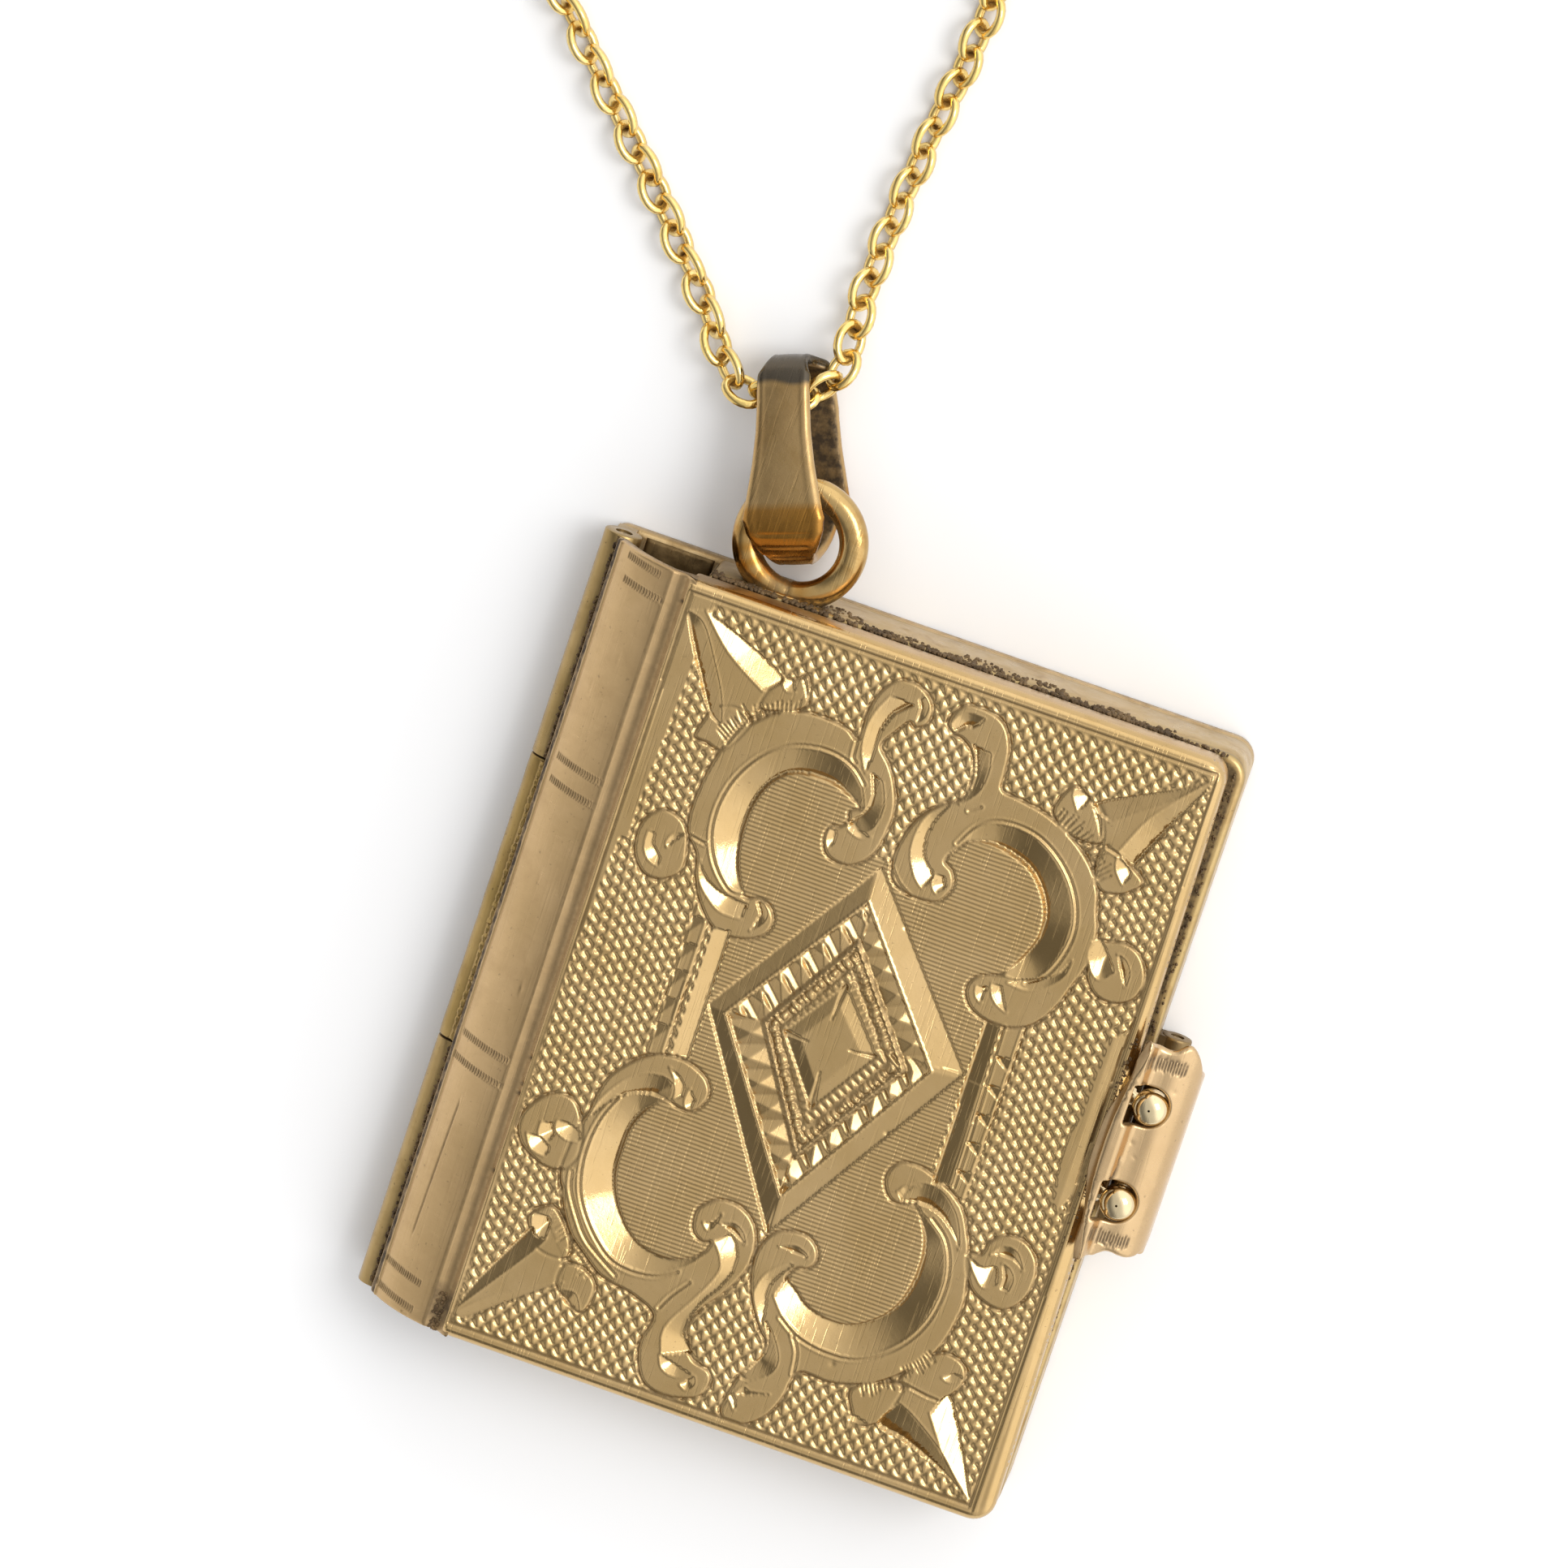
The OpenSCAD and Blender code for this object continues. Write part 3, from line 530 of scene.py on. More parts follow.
STEP = 0.0435
xs = np.arange(-9.12, 9.42, STEP)
ys = np.arange(-13.03, 13.05, STEP)
X, Y = np.meshgrid(xs, ys)
W = 0.05 * np.sin(1.9 * X + 0.7 * Y) + 0.04 * np.sin(2.7 * Y - 1.1 * X)   # the hand's unevenness

# barleycorn: wavy furrows side by side, each the mirror of the next, grains between them
def grains(u, v, a, b, amp):
    """Furrows run along v, a apart; grains b long. Returns height 0 to 1."""
    best = np.full(u.shape, 9.0)
    col = np.floor(u / a)
    k0 = np.floor(u / a)
    for dk in (-1, 0, 1, 2):
        k = k0 + dk
        f = k * a + amp * np.where(k % 2 == 0, 1, -1) * np.sin(2 * math.pi * v / b)
        sl = amp * 2 * math.pi / b * np.cos(2 * math.pi * v / b)
        best = np.minimum(best, np.abs(u - f) / np.sqrt(1 + (0.8 * sl) ** 2))
        col = np.where(u >= f, k, col)
    t = np.clip(best / 0.17, 0, 1)
    bulge = -np.where(col % 2 == 0, 1, -1) * np.sin(2 * math.pi * v / b)
    return np.sqrt(1 - (1 - t) ** 2) * (0.76 + 0.24 * bulge)


side = (np.abs(X + 0.2) - 5.6) * 1.0 > (np.abs(Y) - 9.2) * 1.05
tilt = np.where(X < 0, 0.045, 0.0)
bA = grains(X + tilt * (Y - 4) + W * 0.5, Y + 0.05 * np.sin(5 * X), 0.30, 0.41, 0.062)
bB = grains(Y + W * 0.4, X + 0.12 * Y + 0.04 * np.sin(4 * Y), 0.285, 0.46, 0.07)
H = -0.105 + 0.105 * np.where(side, bA, 0.85 * bB + 0.1)
beadm = np.ones(X.shape)

# ruled field
RULED = np.array([(-4.42, 0), (-4.42, 3.0), (-5.3, 4.2), (-5.5, 6.2), (-5.2, 7.8), (-4, 8.8), (-2.5, 8.8), (-1.2, 7.5),
                  (-0.9, 6.5), (-0.4, 6.45), (0.2, 6.3), (0.8, 7), (1.2, 7.6), (2.0, 8.6), (3.5, 8.6), (4.9, 7.6),
                  (5.3, 6), (4.8, 4.5), (4.1, 4), (4.1, 2.6), (4.1, -2.8), (4.4, -3.8), (4.9, -5), (5, -6.5),
                  (4.2, -8), (3, -8.6), (1.5, -8.4), (0.8, -7.3), (0.6, -6.2), (0, -6.3), (-0.5, -6.2), (-1, -6.3),
                  (-1.8, -7.3), (-2.5, -8.3), (-4, -8.3), (-5.3, -7.3), (-5.8, -5.5), (-5.5, -4), (-4.8, -3), (-4.42, -2)])
field = inside(X, Y, RULED)
H[field] = -0.035
beadm[field] = 0

# bare strips inside the border
BARE = [[(-9.1, 12.7), (9, 12.7), (9, 12.42), (-8.2, 12.42), (-8.25, 9.5), (-8.42, 6.2), (-8.45, 4.4), (-8.7, 4.4), (-8.86, 1.0), (-9.1, 0.9)],
        [(8.62, 13), (9.2, 13), (9.2, -13), (-9.1, -13), (-9.1, -12.42), (8.2, -12.42), (8.62, -11.5)]]
for P in BARE:
    ins = inside(X, Y, np.array(P))
    H[ins] = -0.02
    beadm[ins] = 0

# side strips that carry the teeth
for x0, x1, y0, y1 in ((-5.78, -5.19, -1.95, 3.2), (4.72, 5.36, -3.1, 2.85)):
    m = (X > x0) & (X < x1) & (Y > y0) & (Y < y1)
    H[m] = -0.005
    beadm[m] = 0

edge_line = np.full(X.shape, 9.0)
plain_all = np.zeros(X.shape, bool)
for q, words in PLAIN:
    P = spline(pt(q, words), 5, closed=True)
    w = window(xs, ys, P, 0.12)
    Xw, Yw = X[w], Y[w]
    ins = inside(Xw, Yw, P)
    d, _ = seg_dist(Xw, Yw, np.vstack([P, P[:1]]))
    H[w] = np.where(ins, 0.0, H[w])
    beadm[w] = np.where(ins, 0, beadm[w])
    field[w] &= ~ins
    plain_all[w] |= ins
    edge_line[w] = np.minimum(edge_line[w], np.where(ins & (d > 0.1), 9, d))
# where outlines overlap, a seam inside another plain piece isn't cut
for q, words in FLAT:
    P = pt(q, words)
    w = window(xs, ys, P, 0.12)
    ins = inside(X[w], Y[w], P)
    H[w] = np.where(ins, -0.004, H[w])
    beadm[w] = np.where(ins, 0, beadm[w])
    plain_all[w] |= ins
    field[w] &= ~ins
groove = np.clip(1 - edge_line / 0.07, 0, 1)
inner = blur(plain_all.astype(float), 3) > 0.97
groove = np.where(inner, groove * 0.25, groove)
H -= 0.085 * groove
dirt_and_shade = np.clip(1.1 * groove ** 0.9, 0, 1)
pol = np.zeros(X.shape)

for q, sh, dp, k in CUTS:
    A, B = pt(q, sh), pt(q, dp)
    if len(A) > 2:
        A = spline(A, 5)
    if len(B) > 2:
        B = spline(B, 5)
    P = np.vstack([A, B[::-1]])
    w = window(xs, ys, P, 0.1)
    Xw, Yw = X[w], Y[w]
    ins = inside(Xw, Yw, P)
    da, _ = seg_dist(Xw, Yw, A)
    db, _ = seg_dist(Xw, Yw, B)
    h = -1.12 * k * da - 0.01
    H[w] = np.where(ins, np.minimum(h, 0), H[w])
    pol[w] = np.where(ins, 1, pol[w])
    dirt_and_shade[w] = np.where(ins, 0.8 * np.clip(1 - db / 0.06, 0, 1), dirt_and_shade[w])
    # burr: a thin raised lip beyond the shallow edge
    lip = np.clip(1 - np.abs(da - 0.03) / 0.04, 0, 1)
    H[w] += np.where(~ins, 0.018 * lip, 0)
    beadm[w] = np.where(ins, 0, beadm[w])
    field[w] &= ~ins

for q, words in LINES:
    P = pt(q, words)
    if len(P) > 2:
        P = spline(P, 5)
    w = window(xs, ys, P, 0.2)
    d, _ = seg_dist(X[w], Y[w], P)
    v = np.clip(1 - d / 0.055, 0, 1)
    H[w] -= 0.045 * v
    H[w] += 0.02 * np.clip(1 - np.abs(d - 0.085) / 0.04, 0, 1)
    dirt_and_shade[w] = np.maximum(dirt_and_shade[w], 0.6 * v)

for q, words, n, ln in FRINGE:
    P = spline(pt(q, words), 6)
    seg = np.hypot(*(P[1:] - P[:-1]).T)
    cum = np.concatenate([[0], np.cumsum(seg)])
    for k in range(n):
        s = cum[-1] * (k + 0.5) / n
        i = min(np.searchsorted(cum, s) - 1, len(P) - 2)
        i = max(i, 0)
        t = (P[i + 1] - P[i]) / max(seg[i], 1e-9)
        c = P[i] + t * (s - cum[i])
        nrm = np.array([-t[1], t[0]])
        if q in ("tl",):
            nrm = nrm if nrm @ np.array([-0.6, 0.8]) > 0 else -nrm
        elif q == "tr":
            nrm = nrm if nrm @ np.array([0.6, 0.8]) > 0 else -nrm
        elif q == "bl":
            nrm = nrm if nrm @ np.array([-0.6, -0.8]) > 0 else -nrm
        else:
            nrm = nrm if nrm @ np.array([0.6, -0.8]) > 0 else -nrm
        l = abs(ln) / U * (0.8 + 0.4 * random.random())
        e = c + nrm * l + t * 0.12 * (random.random() - 0.3)
        Q = np.array([c, e])
        w = window(xs, ys, Q, 0.12)
        d, al = seg_dist(X[w], Y[w], Q)
        v = np.clip(1 - d / (0.06 * (1.15 - al)), 0, 1)
        H[w] -= 0.06 * v
        dirt_and_shade[w] = np.maximum(dirt_and_shade[w], 0.35 * v)

# teeth beside the bars
for k in range(6):
    yt = 2.75 - 0.92 * k
    for T in (np.array([(-5.74, yt), (-5.2, yt + 0.05), (-5.7, yt - 0.62)]),
              np.array([(5.32, 1.75 - 0.98 * k), (4.76, 1.68 - 0.98 * k), (5.3, 1.3 - 0.98 * k)])):
        if T[0, 0] < 0 and yt < -1.4:
            continue
        if T[0, 0] > 0 and k > 4:
            continue
        w = window(xs, ys, T, 0.05)
        ins = inside(X[w], Y[w], T)
        d, _ = seg_dist(X[w], Y[w], T[[1, 2]] if T[0, 0] < 0 else T[[0, 2]])
        H[w] = np.where(ins, -0.36 * d, H[w])
        pol[w] = np.where(ins, 1, pol[w])


# lozenge: nested rhombi
def rh(C):
    """Distance inwards from each side, of a rhombus given top, right, bottom, left."""
    C = np.array(C, float)
    out = []
    for i in range(4):
        a, b = C[i], C[(i + 1) % 4]
        d = (b - a) / np.hypot(*(b - a))
        n = np.array([d[1], -d[0]])
        out.append((X - a[0]) * n[0] + (Y - a[1]) * n[1])
    return np.array(out), C


D0, C0 = rh([(-0.54, 6.24), (4.01, 0.77), (-0.3, -6.3), (-4.39, 0.18)])
D1, C1 = rh([(-0.6, 5.1), (3.05, 0.5), (-0.25, -5.05), (-3.8, 0.1)])
D2, C2 = rh([(-0.48, 3.7), (2.2, 0.25), (-0.2, -3.62), (-2.55, 0.22)])
D3, C3 = rh([(-0.44, 2.95), (1.7, 0.28), (-0.2, -2.75), (-2.1, 0.2)])
D4, C4 = rh([(-0.42, 2.26), (1.22, 0.34), (-0.25, -1.95), (-1.82, 0.15)])
D5, C5 = rh([(-0.40, 1.55), (0.72, 0.32), (-0.25, -1.25), (-1.28, 0.15)])
m0, m1, m2, m3, m4, m5 = (D.min(0) for D in (D0, D1, D2, D3, D4, D5))
sec = np.argmin(D0 / np.abs(np.array([2.6, 2.6, 2.6, 2.6]))[:, None, None], axis=0)
along = np.zeros(X.shape)
for i in range(4):
    a, b = C0[i], C0[(i + 1) % 4]
    d = (b - a) / np.hypot(*(b - a))
    along = np.where(sec == i, (X - a[0]) * d[0] + (Y - a[1]) * d[1], along)
band = (m0 > 0) & (m1 < 0)
k0 = np.where(sec == 0, 0.26, np.where(sec == 1, 0.2, 0.26))
H = np.where(band, -0.015 - k0 * np.maximum(-m1, 0) * 0.85, H)
H = np.where((m1 >= 0) & (m1 < 0.07), 0.012, H)
dirt_and_shade = np.where(band, 0.9 * np.clip(1 - m0 / 0.05, 0, 1), dirt_and_shade)
dirt_and_shade = np.where((m1 >= 0) & (m1 < 0.05), 0.5, dirt_and_shade)
zone1 = (m1 >= 0.07) & (m2 < 0)
wz = np.clip(m1 / np.maximum(m1 - m2, 1e-6), 0, 1)
fr = (along + 0.15) / 0.84 + 0.25 * wz
fn = np.round(fr)
fr = fr - fn
# a row of cut pyramids, each a little different
pk = 0.42 + 0.16 * np.sin(2.3 * fn + sec)
tooth = -0.01 - 0.21 * np.maximum(np.abs(fr) * 1.9, np.abs(wz - pk) * 1.25)
nick = np.clip(1 - np.abs(fr - 0.18) / 0.11 - np.maximum(0, np.abs(wz - 0.62) - 0.2) * 3, 0, 1)
tooth = np.maximum(tooth, -0.21) - 0.10 * nick * (sec % 2 == 1)
H = np.where(zone1, tooth, H)
H = np.where(np.abs(m2) < 0.045, -0.06, H)
H = np.where((m2 > 0.045) & (m2 < 0.1), 0.015, H)
dirt_and_shade = np.where(zone1, 0.25 * wz, dirt_and_shade)
dirt_and_shade = np.where(np.abs(m2) < 0.05, 0.8, dirt_and_shade)
zone2 = (m2 >= 0.1) & (m3 < 0.12)
fb = along / 0.215 + 0.22 * np.sin(5.3 * along) + 0.16 * np.sin(11.9 * along + 1)
cb = np.abs(fb - np.round(fb))
rb = 0.9 + 0.25 * np.sin(3.1 * np.round(fb) ** 2)
bb = np.clip(1 - (cb / 0.48) ** 2 - ((m2 - 0.29 + 0.03 * np.sin(4.7 * np.round(fb))) / (0.17 * rb)) ** 2, 0, 1)
spk = np.clip(1 - np.abs(along / 0.215 - np.floor(along / 0.215) - 0.5) / 0.3, 0, 1) * np.clip((0.24 - m2) / 0.1, 0, 1)
H = np.where(zone2, -0.10 + 0.12 * np.sqrt(bb) + 0.015 * np.sin(9 * along), H)
dirt_and_shade = np.where(zone2, np.clip(0.55 * (1 - bb) + 0.5 * spk, 0, 0.9), dirt_and_shade)
zone3 = (m3 >= 0.12) & (m4 < 0)
fs = along / 0.26
fs = np.abs(fs - np.round(fs))
H = np.where(zone3, -0.02 - 0.09 * np.clip(1 - fs / 0.3, 0, 1) * np.clip(-m4 / 0.3, 0, 1), H)
dirt_and_shade = np.where(zone3, 0.3, dirt_and_shade)
zone4 = (m4 >= 0) & (m5 < 0)
H = np.where(zone4, -0.01 - 0.26 * np.maximum(-m5, 0) * 0.8, H)
dirt_and_shade = np.where(zone4, 0.9 * np.clip(1 - m4 / 0.05, 0, 1), dirt_and_shade)
zone5 = m5 >= 0
H = np.where(zone5, -0.006, H)
dirt_and_shade = np.where(zone5, 0, dirt_and_shade)
pol = np.where(band | zone4, 1, pol)
beadm = np.where(m0 > 0, 0, beadm)
field &= ~(m0 > 0)
# mitre spikes of the inner rhombus
for a, b, wd in (((-0.42, 2.2), (-0.5, 1.0), 0.13), ((-1.8, 0.15), (-0.85, 0.08), 0.09),
                 ((1.2, 0.34), (0.2, 0.26), 0.09), ((-0.25, -1.9), (-0.33, -0.7), 0.14)):
    Q = np.array([a, b])
    w = window(xs, ys, Q, 0.2)
    d, al = seg_dist(X[w], Y[w], Q)
    v = np.clip(1 - d / (wd * (1.08 - al)), 0, 1)
    H[w] -= 0.09 * v
    dirt_and_shade[w] = np.maximum(dirt_and_shade[w], 0.7 * v)

# border: rim, with the engraved line inside it
top_e, bot_e, left_e = 12.62, -12.5, -9.0
right_e = 8.52 + 0.05 * (13 - Y) / 26
dd = np.minimum(np.minimum(top_e - Y, Y - bot_e), np.minimum(right_e - X, X - left_e))
rim = dd < 0
dr = -dd
H = np.where(rim, 0.0 + 0.03 * np.sin(np.clip(dr / 0.35, 0, 1) * math.pi), H)
H = np.where(np.abs(dd) < 0.055, -0.06, H)
H = np.where(np.abs(dr - 0.13) < 0.03, H - 0.03, H)
dirt_and_shade = np.where(rim, 0, dirt_and_shade)
dirt_and_shade = np.where(np.abs(dd) < 0.06, 0.65, dirt_and_shade)
beadm = np.where(rim, 0, beadm)
pol = np.where(rim, 0.5, pol)
# second bright line down the left border
for xl in (-8.94, -9.06):
    H += 0.04 * np.exp(-((X - xl - 0.006 * (Y - 5)) / 0.028) ** 2) * (Y < 9.6 - 2 * (xl + 9.06)) * (Y > -12.2)
# the strip beside the hasp leans to the right
lean = np.clip(X - 8.15, 0, 0.45) * (Y > -2.4) * (Y < 4.35) * (beadm < 0.5) * (X > 8.0) * (X < 8.62)
H -= 0.16 * lean

# grime collects in the low ground
low = np.clip((blur(H, 3) - H) / 0.06, 0, 1)
dirt_and_shade = np.maximum(dirt_and_shade, 0.6 * low * (beadm > 0))
dirt_and_shade = np.maximum(dirt_and_shade, 0.8 * (beadm > 0) * np.clip((-H - 0.06) / 0.055, 0, 1))
# thumb worn middle, small hollows
H += 0.012 * np.sin(0.5 * X + 0.3) * np.sin(0.37 * Y + 1)
for cx, cy, r, dpt in ((-4.2, -11.6, 0.12, 0.03), (2.6, 11.9, 0.1, 0.02), (7.5, -1.2, 0.14, 0.02), (-8.7, 1.9, 0.1, 0.03),
                       (0.8, 4.6, 0.07, 0.02), (2.3, -1.9, 0.07, 0.04), (3.0, -9.6, 0.09, 0.02), (6.0, 9.3, 0.08, 0.02)):
    H -= dpt * np.exp(-((X - cx) ** 2 + (Y - cy) ** 2) / r ** 2)

# rounded corner of the sheet, and points outside the board drawn to its outline
out2 = round_box(-14.0, HALF_W, -13.0, 13.0, 0.15, 0.75, n=10, x1h=HALF_W - TAPER)
near = (X > 7.6) | (np.abs(Y) > 12.3)
dist = np.full(X.shape, 5.0)
ins = np.ones(X.shape, bool)
dist[near], _ = seg_dist(X[near], Y[near], np.vstack([out2, out2[:1]]))
ins[near] = inside(X[near], Y[near], out2)
sd = np.where(ins, dist, -dist)
R_E = 0.38
Z = 5.0 + H
t = np.clip(R_E - sd, 0, R_E)
Z = np.where(sd < R_E, np.minimum(Z, 5.0 + H * np.clip(sd / 0.3, 0, 1)) - (R_E - np.sqrt(np.maximum(R_E ** 2 - t ** 2, 0))), Z)
# left side falls into the groove
tl = np.clip((-9.0 - X) / 0.12, 0, 1)
Z -= 0.09 * tl ** 2
# snap
XX, YY = X.copy(), Y.copy()
snap = (sd < 0) & (sd > -STEP * 1.5)
if snap.any():
    px_, py_ = X[snap], Y[snap]
    best = np.full(px_.shape, 1e9)
    bx, by = px_.copy(), py_.copy()
    n2 = len(out2)
    for i in range(n2):
        a, b = out2[i], out2[(i + 1) % n2]
        d = b - a
        tt = np.clip(((px_ - a[0]) * d[0] + (py_ - a[1]) * d[1]) / max(float(d @ d), 1e-12), 0, 1)
        qx, qy = a[0] + tt * d[0], a[1] + tt * d[1]
        q = np.hypot(px_ - qx, py_ - qy)
        mm = q < best
        best, bx, by = np.where(mm, q, best), np.where(mm, qx, bx), np.where(mm, qy, by)
    XX[snap], YY[snap] = bx, by
    Z[snap] = 5.0 - R_E - 0.02
ny, nx = X.shape
keep_v = sd > -STEP * 1.5
fieldf = field.astype(float)
dirt_and_shade = np.clip(blur(dirt_and_shade, 1), 0, 1)


def sheet_piece(name, j0, j1):
    rows = slice(j0, j1)
    V = np.stack([XX[rows], YY[rows], Z[rows]], -1).reshape(-1, 3)
    F = grid_faces(j1 - j0, nx)[:, ::-1]
    kv = keep_v[rows].ravel()
    F = F[kv[F].all(1)]
    used = np.zeros(len(V), bool)
    used[F.ravel()] = True
    idx = np.cumsum(used) - 1
    return to_mesh(name, V[used], idx[F], M_COVER, True,
                   {"dirt_and_shade": dirt_and_shade[rows].ravel()[used], "field": fieldf[rows].ravel()[used], "pol": pol[rows].ravel()[used]})


cuts_j = [0, ny // 4, ny // 2, 3 * ny // 4, ny - 1]
front = []
for k in range(4):
    ob = sheet_piece("front_sheet_%d" % k, cuts_j[k], cuts_j[k + 1] + 1)
    front.append(ob)


# ------------------------------------------------------------ front board
def inset(x0, x1, x1h, y0, y1, rl, rr, i, n=8):
    return round_box(x0 + i, x1 - i, y0 + i, y1 - i, max(rl - i, 0.04), max(rr - i, 0.06), n, x1h=x1h - i)


def board_loops(x0, x1, x1h, rl, rr, rows, y=13.0):
    return [ring3(inset(x0, x1, x1h, -y, y, rl, rr, i), z) for i, z in rows]


board = loft("front_board", board_loops(-9.1, HALF_W, HALF_W - TAPER, 0.15, 0.75, [
    (0.02, 4.69), (0.0, 4.6), (0.0, 3.8), (0.02, 3.7), (0.07, 3.63), (0.15, 3.6), (0.75, 3.6), (0.86, 3.62), (0.9, 3.68),
    (0.92, 3.88), (1.0, 3.94), (1.15, 3.95), (1.6, 3.95), (1.7, 3.9), (1.85, 3.9), (1.95, 3.95)]),
    M_SPINE, cap0=False, cap1=True)
recalc(board)

# groove and spine: one swept sheet with tick bands, a gouge and pits
SC, SR, ST = (-8.315, 0.865), 4.02, 0.4
outer = [(-8.9, 4.93), (-9.02, 4.91), (-9.12, 4.85), (-9.2, 4.75), (-9.28, 4.66), (-9.38, 4.605), (-9.5, 4.585), (-9.62, 4.595), (-9.74, 4.615)]
outer = [tuple(p) for p in spline(outer, 4)]
g_n = len(outer)
A0, A1 = math.radians(112.4), math.radians(151.2)
NA = 104
ang = np.linspace(A0, A1, NA)
outer += [(SC[0] + SR * math.cos(a), SC[1] + SR * math.sin(a)) for a in ang]
edge = []
for k in range(1, 8):
    b = math.pi * k / 8
    rr = SR - ST / 2 + ST / 2 * math.cos(b)
    a = A1 + math.asin(min(1, ST / 2 * math.sin(b) / SR))
    edge.append((SC[0] + rr * math.cos(a), SC[1] + rr * math.sin(a)))
innr = [(SC[0] + (SR - ST) * math.cos(a), SC[1] + (SR - ST) * math.sin(a)) for a in np.linspace(A1, A0, 24)]
innr += [(-9.5, 4.2), (-9.2, 4.15), (-8.9, 4.2)]
prof = np.array(outer + edge + innr)
m_out = len(outer)
nxt, prv = np.roll(prof, -1, 0), np.roll(prof, 1, 0)
tg = nxt - prv
tg /= np.maximum(np.hypot(*tg.T), 1e-9)[:, None]
pn = np.column_stack([tg[:, 1], -tg[:, 0]])
if pn[g_n + 20] @ (prof[g_n + 20] - np.array(SC)) < 0:
    pn = -pn
BANDS = [(12.74, 117.0, 138.0), (12.0, 112.5, 136.0), (5.78, 111.0, 142.0), (5.0, 110.5, 142.0), (-3.8, 113.0, 145.0), (-4.63, 112.5, 146.0),
         (-11.73, 119.6, 148.0), (-12.62, 119.3, 148.8)]
yv = set(np.round(np.linspace(-12.9, 12.9, 130), 4))
for yb, _, _ in BANDS:
    yv |= set(np.round(yb + np.linspace(-0.22, 0.22, 15), 4))
for py in (-3.45, -4.34, -4.67, -7.34, 12.17):
    yv |= set(np.round(py + np.linspace(-0.12, 0.12, 7), 4))
yv = np.array(sorted(y for y in yv if abs(y) < 12.93))
yv = np.concatenate([[-13.0, -12.99, -12.95], yv, [12.95, 12.99, 13.0]])
shr = {0: 0.07, 1: 0.03, 2: 0.008}
loops, dl_ = [], []
cen = prof.mean(0)
sdeg = np.full(len(prof), 0.0)
sdeg[g_n:m_out] = np.degrees(ang)
is_sp = np.zeros(len(prof), bool)
is_sp[g_n:m_out] = True
for j, y in enumerate(yv):
    P = prof.copy()
    k = min(j, len(yv) - 1 - j)
    P = P - pn * shr.get(k, 0.0)
    off = np.zeros(len(prof))
    dt = np.zeros(len(prof))
    # painted shade down the groove, darkest a little past its middle
    dt[:g_n] = 0.12 + 0.22 * np.clip(1 - np.abs(np.arange(g_n) - g_n * 0.6) / (g_n * 0.4), 0, 1)
    for n_, (yb, a0, a1) in enumerate(BANDS):
        # the bands run a little aslant
        yy = y - yb - 0.004 * (sdeg - 130)
        nt_ = 14 if a1 - a0 < 27 else 20
        u = (sdeg - a0) / (a1 - a0) * nt_
        c = np.abs(u - np.round(u))
        v = np.clip(1 - c / 0.34, 0, 1) * np.clip(1 - (np.abs(yy) / 0.13) ** 3, 0, 1) * is_sp * (u > -0.3) * (u < nt_ + 0.3)
        off -= 0.05 * v
        dt = np.maximum(dt, 1.0 * v)
    # raised line along the outer edge
    off += is_sp * 0.035 * np.exp(-((sdeg - 147.3) / 0.6) ** 2)
    off -= is_sp * 0.02 * np.exp(-((sdeg - 145.9) / 0.5) ** 2)
    # painted shade along the spine's outer edge, by the gap at the hinge, with a ragged border
    dt = np.maximum(dt, 0.95 * np.clip((sdeg - 148.1 - 0.45 * math.sin(7.3 * y) * math.sin(2.9 * y)) / 0.7, 0, 1) * is_sp)
    # gouge and pits
    ga = 131.1 + 2.6 * (-5.73 - y) / 4.67
    gg = is_sp * np.exp(-((sdeg - ga) / 0.45) ** 2) * (1 if -10.4 < y < -5.73 else 0)
    off -= 0.03 * gg
    dt = np.maximum(dt, 0.5 * gg)
    off -= is_sp * 0.03 * np.exp(-((y + 12.9) / 0.04) ** 2) * (sdeg > 121) * (sdeg < 125)
    for py, pa in ((2.0, 128), (8.4, 135), (-1.5, 118), (9.6, 124), (-8.2, 139)):
        off -= is_sp * 0.03 * np.exp(-((sdeg - pa) / 0.9) ** 2 - ((y - py) / 0.09) ** 2)
    off += is_sp * 0.008 * (np.sin(0.9 * y + 0.11 * sdeg) + np.sin(0.37 * y - 0.07 * sdeg))
    dt[:g_n] = np.maximum(dt[:g_n], 0.8 * math.exp(-((y + 12.1) / 0.8) ** 2))
    # small pits down the groove
    for py in (-3.45, -4.34, -4.67, -7.34, 12.17):
        pit = np.exp(-((prof[:, 0] + 9.2) / 0.07) ** 2 - ((y - py) / 0.07) ** 2) * (np.arange(len(prof)) < g_n)
        off -= 0.05 * pit
        dt = np.maximum(dt, 0.95 * pit)
    # the hidden inside is brown with age
    dt[m_out + 3:] = 0.7
    P = P + pn * off[:, None]
    loops.append(np.column_stack([P[:, 0], np.full(len(P), y), P[:, 1]]))
    dl_.append(dt)
spine = loft("spine", loops, M_SPINE, attrs={"dirt_and_shade": np.concatenate(dl_)})
recalc(spine)


# ------------------------------------------------------------------ hinge
def tube_y(x, z, r, y0, y1, e=0.06, n=40, dents=0.0):
    return [(V, F) for V, F in [(np.concatenate(lathe_y(x, z, [(y0, 0.02), (y0, r - e), (y0 + e * 0.3, r - e * 0.3), (y0 + e, r)]
            + [(y0 + e + (y1 - y0 - 2 * e) * k / 24, r + dents * math.sin(k * 1.7)) for k in range(1, 24)]
            + [(y1 - e, r), (y1 - e * 0.3, r - e * 0.3), (y1, r - e), (y1, 0.02)], n)), None)]]


def tube_part(*a, **k):
    V = tube_y(*a, **k)[0][0]
    n = k.get("n", 40)
    return V, grid_faces(len(V) // n, n, close_m=True)


HX, HZ = -11.83, 1.7
mid = recalc(join("knuckle_middle", [tube_part(HX, HZ, 0.615, -4.41, 5.28, dents=0.006)], M_KNUCKLE))
